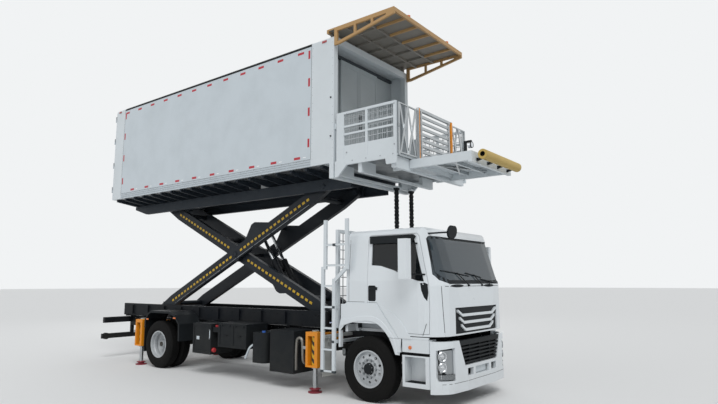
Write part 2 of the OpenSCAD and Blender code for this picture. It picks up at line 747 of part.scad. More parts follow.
module front_rim(side) in_frame() translate([0, 0, tyre_d / 2]) on_side(side) {
    color("#c3c8cc") {
        rim_barrel(front_in + 14, track_out - 14);
        rim_disc(track_out - 70, track_out - 40, 1);
    }
    // Hub with its cap, which turns on the spindle
    color("#2d3033") difference() {
        rotate([-90, 0, 0]) rotate_extrude($fn = 48)
            polygon([[0, track_out - 190], [100, track_out - 190], [100, track_out - 50],
                     [88, track_out - 8], [74, track_out + 2], [0, track_out + 2]]);
        rod_y(0, 0, spindle_r + pin_clear, 0, track_out - 60);
    }
}

module rear_tyres(side) in_frame() translate([-wheelbase, 0, tyre_d / 2]) color("#1d1e1f")
    on_side(side) {
        tyre_ring(track_out - twin_w, track_out);
        tyre_ring(track_out - 2 * twin_w - 40, track_out - twin_w - 40);
    }

module rear_rims(side) in_frame() translate([-wheelbase, 0, tyre_d / 2]) on_side(side) {
    face = track_out - twin_w - 20;
    color("#c3c8cc") {
        rim_barrel(track_out - twin_w + 14, track_out - 14);
        rim_barrel(track_out - 2 * twin_w - 26, track_out - twin_w - 54);
        rim_disc(face + 90, face, 1);
        rim_disc(face - 90, face - 1, -1);
    }
    color("#9aa0a5") difference() {
        rotate([-90, 0, 0]) rotate_extrude($fn = 48)
            polygon([[0, face - 120], [104, face - 120], [104, face + 60], [84, face + 130],
                     [70, face + 165], [0, face + 165]]);
        rod_y(0, 0, 52 + pin_clear, 0, track_out - 90 + slide_clear);
    }
}

module front_tyre_right() front_tyre(-1);
module front_tyre_left() front_tyre(1);
module front_rim_right() front_rim(-1);
module front_rim_left() front_rim(1);
module rear_tyres_right() rear_tyres(-1);
module rear_tyres_left() rear_tyres(1);
module rear_rims_right() rear_rims(-1);
module rear_rims_left() rear_rims(1);

// The stub axle that turns on the kingpin, with its two lugs and steering arm
module knuckle(side) in_frame() translate([0, 0, tyre_d / 2]) on_side(side) color("#33383d") {
    rod_z(0, kingpin_y, 22, -100, 100);
    for (z = [-100, 55]) {
        rod_z(0, kingpin_y, 52, z, z + 45);
        block([-40, kingpin_y, z], [40, kingpin_y + 90, z + 45]);
    }
    block([-60, kingpin_y + 62, -100], [60, kingpin_y + 90, 100]);
    rod_y(0, 0, spindle_r, kingpin_y + 80, track_out - 66);
    block([-260, kingpin_y - 70, -92], [-20, kingpin_y - 30, -62]);
}

module knuckle_right() knuckle(-1);
module knuckle_left() knuckle(1);

// Scissor lift

// An arm's side view from pin to pin, along x
module arm_outline() {
    h = arm_depth / 2;
    circle(r = arm_end_r, $fn = 48);
    translate([arm_l, 0]) circle(r = arm_end_r, $fn = 48);
    translate([arm_l / 2, 0]) circle(r = h + 25, $fn = 64);
    polygon([[0, -arm_end_r], [420, -h], [arm_l - 420, -h], [arm_l, -arm_end_r],
             [arm_l, arm_end_r], [arm_l - 420, h], [420, h], [0, arm_end_r]]);
}

// Places children whose x runs along an arm, from a pin at x and z
module along_arm(x, z, angle) translate([x, 0, z]) rotate([0, -angle, 0]) children();

module arm_cut(s, r) rod_y(s, 0, r, -2000, 2000, 48);

module scissor_outer() in_frame() along_arm(rear_pin_x, low_pin_z, arm_angle) {
    mid = arm_l / 2;
    y0 = outer_arm_y;
    y1 = y0 + arm_t;
    cross_s = mid + eye_s + 200;
    cross_h = eye_h - 10;
    color("#222a32") {
        both_sides() {
            difference() {
                translate([0, y1, 0]) rotate([90, 0, 0]) linear_extrude(arm_t) {
                    arm_outline();
                    // Raised bracket above the arm, just ahead of the crossing
                    polygon([[mid + 420, arm_depth / 2 - 5], [cross_s - 60, cross_h + 45],
                             [cross_s + 55, cross_h + 45], [mid + 1250, arm_depth / 2 - 5]]);
                }
                arm_cut(arm_l, pin_d / 2 + pin_clear);
            }
            rod_y(0, 0, pin_d / 2, inner_arm_y + arm_t, roller_in + 1);
            // Cheeks that hold the end of each lift cylinder's rod
            for (y = [ram_y - 64, ram_y + 44])
                side_plate([[cross_s - 255, cross_h - 40], [cross_s - 235, cross_h + 40],
                            [cross_s, cross_h + 45], [cross_s, cross_h - 45],
                            [cross_s - 120, cross_h - 60]], y, y + 20);
        }
        rod_y(mid, 0, pin_d / 2, -y0 - 1, y0 + 1, 48);
        rod_y(cross_s, cross_h, 45, -y0 - 1, y0 + 1, 40);
        for (s = [260, arm_l - 420]) rod_y(s, 0, 55, -y0 - 1, y0 + 1, 40);
    }
    color("#7a8086") both_sides() rod_y(0, 0, roller_d / 2, roller_in, roller_out, 48);
}

module scissor_inner() in_frame() along_arm(rear_pin_x, high_pin_z, -arm_angle) {
    mid = arm_l / 2;
    y0 = inner_arm_y;
    y1 = y0 + arm_t;
    foot = mid + foot_s;
    color("#1d242b") {
        both_sides() difference() {
            translate([0, y1, 0]) rotate([90, 0, 0]) linear_extrude(arm_t) {
                arm_outline();
                polygon([[foot - 220, -arm_depth / 2 + 5], [foot - 60, foot_h - 70],
                         [foot + 60, foot_h - 70], [foot + 220, -arm_depth / 2 + 5]]);
            }
            arm_cut(arm_l, pin_d / 2 + pin_clear);
            arm_cut(mid, pin_d / 2 + pin_clear);
        }
        both_sides() rod_y(0, 0, pin_d / 2, y0, roller_in + 1);
        // Cross tubes, and the shaft that carries the two cylinders
        for (s = [500, mid - 900, mid + 800, arm_l - 700]) rod_y(s, 0, 60, -y0 - 1, y0 + 1, 40);
        rod_y(foot, foot_h, 32, -y0 - 1, y0 + 1, 40);
    }
    color("#7a8086") both_sides() rod_y(0, 0, roller_d / 2, roller_in, roller_out, 48);
}

barrel_l = 760;

// Places children whose x runs along a lift cylinder, from its lower pin
module along_ram() translate([ram_foot[0], 0, ram_foot[1]]) rotate([0, -ram_tilt, 0]) children();

module cylinder_barrels() in_frame() along_ram() color("#2a2f35") for (y = [-ram_y, ram_y]) {
    difference() {
        union() {
            rod_y(0, 0, 62, y - 42, y + 42, 40);
            rod_x(y, 0, barrel_r, 40, barrel_l, 48);
            rod_x(y, 0, barrel_r + 4, barrel_l - 70, barrel_l, 48);
        }
        rod_y(0, 0, 32 + pin_clear, y - 50, y + 50, 40);
        rod_x(y, 0, ram_r + pin_clear, 95, barrel_l + 1, 48);
    }
}

module cylinder_rods() in_frame() along_ram() color("#d2d6da") for (y = [-ram_y, ram_y]) {
    rod_x(y, 0, ram_r, 630, ram_l - 20, 48);
    rod_y(ram_l, 0, 44, y - 36, y + 36, 40);
}

// Box body

module underframe() in_frame() color("#39434e") {
    rear = box_rear + 80;
    roller_floor = high_pin_z - roller_d / 2 - slide_clear;
    roller_roof = high_pin_z + roller_d / 2 + seat_clear;
    both_sides() {
        difference() {
            channel(rear, box_front - 100, lift_rail_y - 80, lift_rail_y, under_z, under_top, 22, lift_web);
            // Rear ends taper upwards
            side_plate([[rear - 1, under_z - 1], [rear + 520, under_z - 1], [rear - 1, under_top - 80]],
                       lift_rail_y - 90, lift_rail_y + 1);
        }
        // The body rests on the rear rollers, which run between two tracks
        block([track_x0, lift_rail_y - 80, roller_floor - 22], [track_x1, lift_rail_y - lift_web, roller_floor]);
        block([track_x0, lift_rail_y - 80, roller_roof], [track_x1, lift_rail_y - lift_web, roller_roof + 20]);
        for (x = [track_x0 + 20, (track_x0 + track_x1) / 2, track_x1 - 20]) {
            block([x, lift_rail_y - 80, roller_roof], [x + 16, lift_rail_y - lift_web + 1, under_top]);
            block([x, lift_rail_y - 80, under_z], [x + 16, lift_rail_y - lift_web + 1, roller_floor]);
        }
        block([front_pin_x - 130, lift_rail_y - 80, under_z],
              [front_pin_x + 130, lift_rail_y, under_top]);
        rod_y(front_pin_x, high_pin_z, pin_d / 2, outer_arm_y - 8, lift_rail_y);
        rod_y(front_pin_x, high_pin_z, pin_d / 2 + 15, outer_arm_y - 26, outer_arm_y - slide_clear);
    }
    // Cross members; three are cut short above the raised brackets
    for (i = [0 : 18]) {
        x = box_rear + 130 + 395 * i;
        clear_x0 = -4060;
        clear_x1 = -3400;
        if (x + 60 < clear_x0 || x > clear_x1)
            cross_plate([[-1195, box_z - 60], [-lift_rail_y - 60, under_top], [lift_rail_y + 60, under_top],
                         [1195, box_z - 60], [1195, box_z], [-1195, box_z]], x, x + 60);
        else
            both_sides() cross_plate([[lift_rail_y - 80, under_top], [lift_rail_y + 60, under_top],
                                      [1195, box_z - 60], [1195, box_z], [lift_rail_y - 80, box_z]],
                                     x, x + 60);
    }
}

module body_floor() in_frame() {
    color("#8d9398") both_sides() flat_plate([
        [box_rear, 0], [sill_x, 0], [sill_x, box_y - wall_t], [bulkhead_x + bulkhead_t, box_y - wall_t],
        [bulkhead_x + bulkhead_t, opening_y], [bulkhead_x, opening_y],
        [bulkhead_x, box_y - wall_t], [box_rear + jamb_l, box_y - wall_t],
        [box_rear + jamb_l, box_y - jamb_w], [box_rear, box_y - jamb_w]], box_z, floor_top);
    // Ribbed aluminium rail along each side
    color("#c2c7cb") both_sides() {
        difference() {
            block([wall_x0, box_y - wall_t, box_z], [wall_x1, box_y, side_rail_top]);
            for (i = [0 : 3])
                block([wall_x0 - 1, box_y - 6, box_z + 18 + 30 * i], [wall_x1 + 1, box_y + 1, box_z + 30 + 30 * i]);
        }
    }
}

module side_walls() in_frame() color("#e8ebec") both_sides()
    block([wall_x0, box_y - wall_t, side_rail_top], [wall_x1, box_y, roof_z]);

module roof() in_frame() color("#dfe3e5")
    difference() {
        cross_plate([[-box_y, roof_z], [box_y, roof_z], [box_y, box_top - 35], [box_y - 35, box_top],
                     [-box_y + 35, box_top], [-box_y, box_top - 35]], wall_x0, wall_x1);
        for (i = [0 : 11])
            block([wall_x0 + 150 + 540 * i, -box_y + wall_t, roof_z - 1],
                  [wall_x0 + 560 + 540 * i, box_y - wall_t, roof_z + 25]);
    }

module end_frames() in_frame() {
    color("#e2e5e7") {
        // Rear portal around the doors
        difference() {
            cross_plate([[-box_y, box_z], [box_y, box_z], [box_y, box_top - 35], [box_y - 35, box_top],
                         [-box_y + 35, box_top], [-box_y, box_top - 35]], box_rear, wall_x0);
            block([box_rear + jamb_l, -box_y + wall_t, box_z - 1], [wall_x0 + 1, box_y - wall_t, roof_z]);
            block([box_rear - 1, -box_y + jamb_w, box_z - 1], [wall_x0, box_y - jamb_w, box_top - 110]);
        }
        both_sides() {
            block([wall_x1, box_y - wall_t, box_z], [box_front - 100, box_y, roof_z]);
            // Front posts, which reach down below the floor and guide the platform
            block([box_front - 100, box_y - 110, under_z + 80], [box_front, box_y, roof_z]);
        }
        cross_plate([[-box_y, roof_z], [box_y, roof_z], [box_y, box_top - 35], [box_y - 35, box_top],
                     [-box_y + 35, box_top], [-box_y, box_top - 35]], wall_x1, box_front);
        block([box_front - 100, -box_y + 110, roof_z - 70], [box_front, box_y - 110, roof_z]);
        block([box_front - 90, -box_y + 110, under_z + 80], [box_front, box_y - 110, under_z + 160]);
    }
    // Bulkhead with its doorway, set back from the posts
    color("#b3babd") {
        difference() {
            block([bulkhead_x, -box_y + wall_t, box_z], [bulkhead_x + bulkhead_t, box_y - wall_t, roof_z]);
            block([bulkhead_x - 1, -opening_y, box_z - 1], [bulkhead_x + bulkhead_t + 1, opening_y, opening_top]);
        }
    }
    color("#3a3f43") block([bulkhead_x + bulkhead_t, -1140, opening_top + 65],
                           [bulkhead_x + bulkhead_t + 62, 1140, opening_top + 120]);
    // Sloping sill between the floor and the platform
    color("#8d9398") side_plate([[sill_x, box_z], [box_front, box_z], [box_front, box_z + 12],
                                 [sill_x, floor_top]], -box_y + 110, box_y - 110);
    // Hinge knuckles for the rear doors
    color("#a9afb4") both_sides() for (z = rear_hinge_z) {
        rod_z(rear_axis_x, rear_axis_y, 12, z + 90 + seat_clear, z + 150, 20);
        block([rear_axis_x, box_y - 12, z + 90 + seat_clear], [box_rear, box_y, z + 150]);
    }
}

canopy_low = canopy_top - 340;
// Height of the side truss's lower edge, less its rim
function low_edge(x) = canopy_low + 50
    + max(0, x - box_front - 110) * 220 / (canopy_front - box_front - 110);

module canopy() in_frame() {
    rear = box_front - 180;
    sheet_z = canopy_top - 30;
    color("#8a8880") block([rear, -box_y, sheet_z], [canopy_front, box_y, canopy_top]);
    // Rib grid under the sheet
    color("#b08a50") {
        for (y = [-840, -420, 0, 420, 840])
            block([rear, y - 18, sheet_z - 45], [canopy_front, y + 18, sheet_z]);
        for (x = [rear, -500, -80, canopy_front - 40])
            block([x, -box_y, sheet_z - 45], [x + 40, box_y, sheet_z]);
        // Feet on the box roof
        both_sides() for (x = [rear, box_front - 60])
            block([x, box_y - 160, box_top], [x + 50, box_y - 110, sheet_z]);
        // Tapered side trusses with three bays
        both_sides() difference() {
            side_plate([[box_front + 15, canopy_low], [box_front + 110, canopy_low],
                        [canopy_front, sheet_z - 90], [canopy_front, sheet_z], [box_front + 15, sheet_z]],
                       box_y - 40, box_y);
            for (b = [[-660, -270], [-225, 115], [160, 440]])
                side_plate([[b[0], low_edge(b[0])], [b[1], low_edge(b[1])], [b[1], sheet_z - 45],
                            [b[0], sheet_z - 45]], box_y - 41, box_y + 1);
        }
        both_sides() block([box_front + seat_clear, box_y - 40, canopy_low], [box_front + 16, box_y, sheet_z]);
    }
    // Two warning lamps on the front edge
    color("#c8641e") both_sides() rod_z(canopy_front - 60, 700, 40, canopy_top, canopy_top + 55);
}

// A rear door leaf, hinged at the outer post
hinge_out = box_y - 4;
rear_leaf_x = box_rear - slide_clear - leaf_t;
rear_axis_x = rear_leaf_x - 8;
rear_axis_y = hinge_out - 4;
rear_hinge_z = [box_z + 200, box_z + 850, box_z + 1500, box_top - 300];

module rear_door(side) in_frame() on_side(side) {
    color("#e2e5e7") difference() {
        block([rear_leaf_x, slide_clear, box_z + 10], [rear_leaf_x + leaf_t, hinge_out - 14, box_top - 60]);
        block([rear_leaf_x - 1, 90, box_z + 110], [rear_leaf_x + 8, hinge_out - 110, box_top - 160]);
    }
    // Hinges and lock bars
    color("#a9afb4") {
        for (z = rear_hinge_z) {
            rod_z(rear_axis_x, rear_axis_y, 12, z, z + 90, 20);
            block([rear_leaf_x - 10, hinge_out - 160, z + 20], [rear_leaf_x + 1, rear_axis_y, z + 70]);
        }
        for (y = [260, 760]) {
            rod_z(rear_leaf_x - 24, y, 13, box_z + 30, box_top - 80, 20);
            for (z = [for (i = [0 : 3]) box_z + 60 + i * (box_top - box_z - 230) / 3.5])
                block([rear_leaf_x - 34, y - 28, z], [rear_leaf_x + 1, y + 28, z + 40]);
        }
        block([rear_leaf_x - 44, 240, box_z + 980], [rear_leaf_x - 24, 520, box_z + 1020]);
    }
}

module rear_door_right() rear_door(-1);
module rear_door_left() rear_door(1);

module front_door(side) in_frame() on_side(side) {
    x0 = bulkhead_x + bulkhead_t + 10;
    color("#b8bfc2") difference() {
        block([x0, 4, floor_top + 6], [x0 + leaf_t, 604, opening_top + 60]);
        block([x0 + leaf_t - 8, 60, floor_top + 120], [x0 + leaf_t + 1, 545, opening_top - 40]);
    }
    color("#6d7478") block([x0 + leaf_t, 24, 5000], [x0 + leaf_t + 30, 48, 5300]);
    color("#3a3f43") for (y = [120, 480])
        block([x0 + 10, y, opening_top + 59.5], [x0 + leaf_t - 10, y + 60, opening_top + 65 - seat_clear]);
}

module front_door_right() front_door(-1);
module front_door_left() front_door(1);

// Platform

module platform_deck() in_frame() {
    edge_z = deck_z - 70;
    color("#9aa1a5") block([deck_rear, -box_y + 40, deck_z - deck_t], [deck_front, box_y - 40, deck_z]);
    color("#dde1e3") {
        both_sides() {
            block([deck_rear, box_y - 40, edge_z], [deck_front, box_y, deck_z + 20]);
            // Corner bracket, and the mast with two shoes that ride on the front post
            side_plate([[deck_rear, under_z + 80], [deck_rear + 60, under_z + 80],
                        [deck_rear + 270, edge_z], [deck_rear, edge_z]], box_y - 40, box_y);
            block([deck_rear, box_y - 90, deck_low], [deck_rear + 30, box_y - 40, deck_z + 730]);
            for (z = [deck_low, deck_z + 630])
                block([box_front + seat_clear, box_y - 90, z], [deck_rear, box_y - 30, z + 100]);
            // Front leg
            side_plate([[420, edge_z - 100], [deck_front, edge_z - 100], [deck_front, edge_z],
                        [400, edge_z]], box_y - 40, box_y);
        }
        // Cross beams below the bridge's runners, hung from the floor outside them
        for (x = [deck_rear, -200, deck_front - 120]) {
            block([x, -box_y + 40, deck_low], [x + 80, box_y - 40, bridge_low - seat_clear]);
            both_sides() block([x, bridge_y + 15, deck_low], [x + 80, box_y - 40, deck_z - deck_t]);
        }
        // Brackets at the tops of the hose chains
        for (y = chain_y)
            block([deck_rear, y - 60, deck_low], [chain_x + 40, y + 60, bridge_low - slide_clear]);
    }
}

module mesh_bay(x0, x1, z0, z1) {
    for (x = [x0 + 100 : 100 : x1 - 20]) block([x, box_y - 30, z0], [x + 8, box_y - 22, z1]);
    for (z = [z0 + 100 : 100 : z1 - 20]) block([x0, box_y - 24, z], [x1, box_y - 16, z + 8]);
}

module platform_guards() in_frame() both_sides() {
    rear = deck_rear + 35;
    mid = -20;
    solid_top = deck_z + 280;
    color("#e4e7e8") {
        block([rear, box_y - 36, deck_z + 20], [deck_front, box_y - 8, solid_top]);
        for (x = [rear, mid, deck_front - guard_post])
            block([x, box_y - 45, deck_z + 20], [x + guard_post, box_y - 2, guard_top]);
        block([rear, box_y - 45, deck_z + 20], [rear + 170, box_y - 2, guard_top]);
        block([rear, box_y - 45, guard_top - 45], [deck_front, box_y - 2, guard_top]);
        for (z = [solid_top + 190, solid_top + 330])
            block([rear, box_y - 40, z], [deck_front, box_y - 8, z + 35]);
    }
    color("#aab0b4") {
        mesh_bay(rear + 170, mid, solid_top, guard_top - 45);
        mesh_bay(mid + guard_post, deck_front - guard_post, solid_top, guard_top - 45);
    }
}

module bridge_deck() in_frame() {
    color("#8f969a") block([bridge_rear, -bridge_y + 1, bridge_top - 24], [bridge_front, bridge_y - 1, bridge_top]);
    color("#dfe3e5") {
        both_sides() block([bridge_rear, bridge_y - bridge_beam_t, bridge_low], [bridge_front, bridge_y, bridge_top]);
        block([bridge_front - 60, -bridge_y, bridge_low - 30], [bridge_front, bridge_y, bridge_top]);
    }
    color("#9aa1a5") {
        for (x = [560, 900, 1240])
            block([x, -bridge_y + 1, bridge_top - 90], [x + 40, bridge_y - 1, bridge_top - 20]);
        for (s = [-1, 1])
            translate([1095, 0, bridge_top - 70]) rotate([0, 0, s * 66])
                block([-640, -15, -20], [640, 15, 20]);
        // Brackets that carry the foam roller
        for (y = [-620, -220, 180, 580])
            side_plate([[bridge_front - 1, bridge_low], [roller_x + 12, roller_z - 40],
                        [roller_x + 12, roller_z], [roller_x - 12, roller_z],
                        [roller_x - 12, roller_z - 30], [bridge_front - 1, bridge_low + 50]], y, y + 40);
        rod_y(roller_x, roller_z, roller_core - 1, -630, 630);
    }
    // Floodlight on its bracket
    color("#23272b") {
        block([1610, -bridge_y + 10, bridge_top], [1650, -bridge_y + 50, bridge_top + 170]);
        block([1610, -bridge_y + 10, bridge_top + 140], [1740, -bridge_y + 50, bridge_top + 170]);
    }
    color("#c9ced2") rod_x(-bridge_y + 30, bridge_top + 95, 50, 1690, 1745);
}

gate_post = 610;

module platform_gate() in_frame() {
    x = deck_front;
    z0 = deck_z - deck_t;
    z1 = guard_top + 20;
    // Orange posts on the floor's front edge, with silver slats between them
    color("#d08a2a") both_sides() block([x, gate_post - 50, z0], [x + 60, gate_post, z1]);
    color("#b9bfc3") {
        for (i = [0 : 7])
            block([x + 10, -gate_post + 50, z0 + 50 + 106 * i], [x + 40, gate_post - 50, z0 + 98 + 106 * i]);
        block([x, -gate_post + 50, z1 - 50], [x + 50, gate_post - 50, z1]);
        both_sides() {
            block([x + 12, 480, z0], [x + 52, 520, z1 - 40]);
            // Crossed bars of the folding side guards, in their frame
            for (k = [0, 1]) {
                y0 = gate_post + 30 + 250 * k;
                cross_plate([[y0, z0 + 60], [y0 + 45, z0 + 60], [y0 + 275, z1 - 60], [y0 + 230, z1 - 60]],
                            x + 8, x + 20);
                cross_plate([[y0 + 230, z0 + 60], [y0 + 275, z0 + 60], [y0 + 45, z1 - 60], [y0, z1 - 60]],
                            x + 20, x + 32);
            }
            for (y = [gate_post - 2, 1165]) block([x + 8, y, z0], [x + 32, y + 32, z1 - 40]);
            for (z = [z0 + 40, z1 - 62]) block([x + 8, gate_post, z], [x + 32, 1195, z + 22]);
        }
    }
}

// The foam tube turns about the bar that the bridge's brackets hold
module bumper_roller() in_frame() color("#c9ae62") difference() {
    rod_y(roller_x, roller_z, bumper_d / 2, -705, 705, 48);
    rod_y(roller_x, roller_z, roller_core - 1 + seat_clear, -706, 706, 48);
    for (y = [-620, -220, 180, 580])
        block([roller_x - 200, y - 4, roller_z - bumper_d], [roller_x + 12.5, y + 44, roller_z + 0.5]);
    both_sides() rod_y(roller_x, roller_z, roller_core + 12, 660, 706, 48);
}

// Cab: one form, cut from a side view, a front view and a plan, used at several insets

cab_side = [
    [cab_rear, cab_low], [cab_front - 5, cab_low], [cab_front, 1500], [cab_front - 12, 1900],
    [cab_front - 226, 2600], [cab_front - 275, 2700], [cab_front - 400, cab_top - 25],
    [cab_front - 560, cab_top], [cab_rear + 90, cab_top], [cab_rear + 20, cab_top - 30],
    [cab_rear, cab_top - 110]
];
cab_cross = concat(
    [[-cab_y, cab_low], [cab_y, cab_low], [cab_y, 1950], [cab_y - 52, 2600]],
    arc_points(cab_y - 175, 2660, 115, 150, 0, 90, 4),
    [[0, cab_top + 25]],
    arc_points(-cab_y + 175, 2660, 115, 150, 90, 180, 4),
    [[-cab_y + 52, 2600], [-cab_y, 1950]]
);

module cab_form(t) intersection() {
    side_plate(inset_poly(cab_side, t), -cab_y - 10, cab_y + 10);
    cross_plate(inset_poly(cab_cross, t), cab_rear - 10, cab_front + 100);
    flat_plate(inset_poly(nose_plan(cab_rear, cab_front - 20, cab_y), t), 0, 4000);
    // The same plan leans back above the dashboard
    translate([cab_front, 0, 1900]) rotate([0, -17, 0])
        flat_plate(inset_poly(nose_plan(-4000, -20, cab_y), t), -3000, 3000);
}

fender_top = 1580;
// The door's outline in x and z, anticlockwise
door_outline = [
    [0, fender_top + 20], [190, fender_top + 20], [300, 1480], [560, cab_low + 40],
    [1146, cab_low + 40], [door_front, 1500], [door_front - 10, 1880], [1124, 1990],
    [968, 2660], [940, 2700], [30, 2700], [0, 2670]
];
door_window = [
    [70, 2210], [260, 2195], [520, 2120], [760, 2010], [980, 1950], [1080, 1940],
    [905, 2590], [880, 2620], [100, 2620], [70, 2590]
];
screen_outline = [
    [-900, 1900], [900, 1900], [1060, 1960], [1120, 2050], [1075, 2620], [1040, 2660],
    [-1040, 2660], [-1075, 2620], [-1120, 2050], [-1060, 1960]
];
arch_inner = [
    [-560, 840], [600, 840], [560, 960], [430, 1190], [330, 1262], [-300, 1262],
    [-470, 1215], [-560, 1120]
];
arch_outer = [
    [-600, 840], [-600, 1160], [-500, fender_top - 60], [-450, fender_top], [170, fender_top],
    [290, 1465], [555, cab_low + 10], [640, 970], [655, 840]
];

module cab_shell() in_frame() {
    color("#e9ecee") {
        difference() {
            cab_form(0);
            cab_form(cab_t);
            // Doors, windscreen and wheel arches
            both_sides() {
                side_plate(inset_poly(door_outline, -door_gap), cab_y - 240, cab_y + 100);
                side_plate(arch_inner, cab_y - 260, cab_y + 100);
            }
            cross_plate(screen_outline, 900, 1600);
            // Open above the engine
            block([cab_rear + cab_t, -430, cab_low - 1], [780, 430, cab_low + cab_t + 1]);
            both_sides() block([-380, cab_y - 330, cab_low - 1], [620, cab_y - cab_t, cab_low + cab_t + 1]);
            // Side grille opening low in the front wall
            block([1300, -760, cab_low + 25], [1500, 760, 1530]);
        }
        // Wheel arch with its proud lip
        both_sides() difference() {
            side_plate(arch_outer, cab_y - 45, cab_y + 22);
            side_plate(arch_inner, cab_y - 46, cab_y + 23);
            block([-700, cab_y - 50, 830], [700, cab_y + 30, 842]);
            block([400, cab_y - 50, 830], [700, cab_y + 30, 1055]);
        }
        // Inner wheel house
        both_sides() {
            block([-500, cab_y - 330, 1262], [400, cab_y - 40, 1290]);
            side_plate([[400, 1262], [640, cab_low], [640, cab_low + 40], [400, 1290]],
                       cab_y - 330, cab_y - cab_t - door_gap);
            side_plate([[-500, 1262], [-500, cab_low], [cab_rear, cab_low], [cab_rear, 1290], [-500, 1290]],
                       cab_y - 330, cab_y - 40);
        }
        // Tunnel over the engine
        difference() {
            cross_plate([[-480, cab_low], [480, cab_low], [480, 1330], [400, 1390], [-400, 1390],
                         [-480, 1330]], cab_rear + 10, 830);
            cross_plate([[-430, cab_low - 1], [430, cab_low - 1], [430, 1310], [380, 1350],
                         [-380, 1350], [-430, 1310]], cab_rear - 1, 780);
        }
    }
    // Hinge arms under the floor
    lug_y = rail_y + rail_flange + 50;
    color("#2b2f34") both_sides() difference() {
        union() {
            rod_y(hinge_x, hinge_z, 44, lug_y, lug_y + 40);
            side_plate([[hinge_x - 31, hinge_z - 31], [hinge_x + 31, hinge_z + 31],
                        [hinge_x + hinge_z + 62 - cab_low - 20, cab_low + 20],
                        [hinge_x + hinge_z - 62 - cab_low - 20, cab_low + 20]], lug_y, lug_y + 40);
        }
        rod_y(hinge_x, hinge_z, hinge_r + pin_clear, lug_y - 1, lug_y + 41);
    }
    // Air ducts behind the cab
    color("#e9ecee") both_sides() block([cab_rear - 45, 940, 1900], [cab_rear, 1150, 2780]);
    // Kerb mirror on its arm at the right of the windscreen
    color("#1d2023") {
        block([1045, -1032, 2690], [1480, -1008, 2714]);
        for (y = [-1050, -985])
            translate([1475, y, 2705]) rotate([0, 100, 0]) cylinder(h = 34, r = 100, $fn = 40);
    }
}

grille_y = 755;
grille_z0 = cab_low + 30;
grille_z1 = 1525;

module cab_grille() in_frame() {
    // Black field, with a flange behind the front wall
    color("#16191c") difference() {
        intersection() {
            cab_form(22);
            block([1200, -grille_y, grille_z0], [1500, grille_y, grille_z1]);
        }
        translate([0, 0, -60]) cab_form(cab_t + 7);
    }
    color("#16191c") difference() {
        intersection() {
            cab_form(cab_t + seat_clear);
            block([1200, -grille_y - 40, cab_low + cab_t + 2], [1500, grille_y + 40, grille_z1 + 40]);
        }
        translate([0, 0, -60]) cab_form(cab_t + 7);
    }
    // Proud bars, each bent down at both ends
    color("#eef0f1") for (i = [0 : 2]) {
        z = grille_z1 - 25 - 115 * i;
        w = 700 - 60 * i;
        m = 560 - 50 * i;
        cross_plate([[-w, z], [-m, z - 70], [m, z - 70], [w, z], [w, z - 40], [m - 10, z - 114],
                     [-m + 10, z - 114], [-w, z - 40]], 1350, 1402);
    }
}

module windscreen() in_frame() color("#39464e", 0.6)
    intersection() {
        difference() {
            cab_form(14);
            cab_form(22);
        }
        cross_plate(inset_poly(screen_outline, seat_clear), 902, 1600);
    }

module cab_interior() in_frame() {
    deck = cab_low + cab_t + seat_clear;
    color("#3c4145") {
        // Dashboard across the front, in two steps
        intersection() {
            side_plate([[1060, 1480], [1330, 1480], [1330, 1840], [1180, 1900], [1080, 1840],
                        [1040, 1700]], -1100, 1100);
            cab_form(cab_t + 16);
        }
        intersection() {
            block([1320, -300, 1600], [1400, 300, 1700]);
            cab_form(cab_t + seat_clear);
        }
        // Seats: driver on the left, bench on the right, each on its box beside the tunnel
        for (y = [[300, 820, 484, 760], [-960, -300, -880, -484]]) {
            side_plate([[60, 1400], [560, 1400], [590, 1480], [560, 1560], [60, 1530]], y[0], y[1]);
            side_plate([[-60, 1480], [60, 1530], [-60, 2120], [-160, 2120]], y[0], y[1]);
            block([80, y[2], deck], [500, y[3], 1401]);
            side_plate([[-90, 2110], [-150, 2110], [-185, 2330], [-110, 2330]],
                       (y[0] + y[1]) / 2 - 140, (y[0] + y[1]) / 2 + 140);
        }
    }
    // Steering wheel and its column
    color("#1b1d1f") {
        translate([900, 530, 1890]) rotate([0, 35, 0]) {
            rotate_extrude($fn = 48) translate([215, 0]) circle(r = 15, $fn = 16);
            for (a = [90, 210, 330]) rotate([0, 0, a]) block([0, -14, -8], [215, 14, 8]);
            cylinder(h = 30, r = 55, center = true, $fn = 32);
        }
        strut([900, 1890], [1080, 1630], 60, 500, 560);
    }
    // Storage boxes behind the seats
    color("#c9cdd0") both_sides() block([cab_rear + cab_t + 10, 500, deck], [60, 860, 1300]);
}

// A cab door: the part of the cab's form inside the door's outline
module cab_door(side) in_frame() on_side(side) {
    color("#eceeef") difference() {
        intersection() {
            difference() {
                cab_form(0);
                cab_form(cab_t);
            }
            side_plate(door_outline, cab_y - 235, cab_y + 20);
        }
        side_plate(door_window, cab_y - 400, cab_y + 50);
        // The door hangs outside the floor
        block([0, cab_y - 400, cab_low], [1300, cab_y - cab_t, cab_low + cab_t + 2]);
    }
    color("#1d2023") {
        // Handle in its dark recess, and the wind deflector above the window
        block([40, cab_y, 1800], [200, cab_y + 14, 1850]);
        side_plate([[40, 2622], [905, 2622], [925, 2655], [880, 2690], [40, 2690]], cab_y - 78, cab_y - 20);
        side_plate([[40, 2565], [880, 2565], [905, 2623], [40, 2623]], cab_y - 44, cab_y - 20);
        // Mirror arms
        for (m = [[1092, 60, 2050, 115], [955, 95, 2540, 100]])
            translate([m[0], cab_y - m[1], m[2]]) rotate([0, 0, m[3]]) block([0, -12, -12], [330, 12, 12]);
    }
    color("#eef0f1")
        flat_plate([[790, 1400], [980, 1400], [1000, 1440], [970, 1530], [820, 1530], [780, 1480]], 1980, 2600);
}

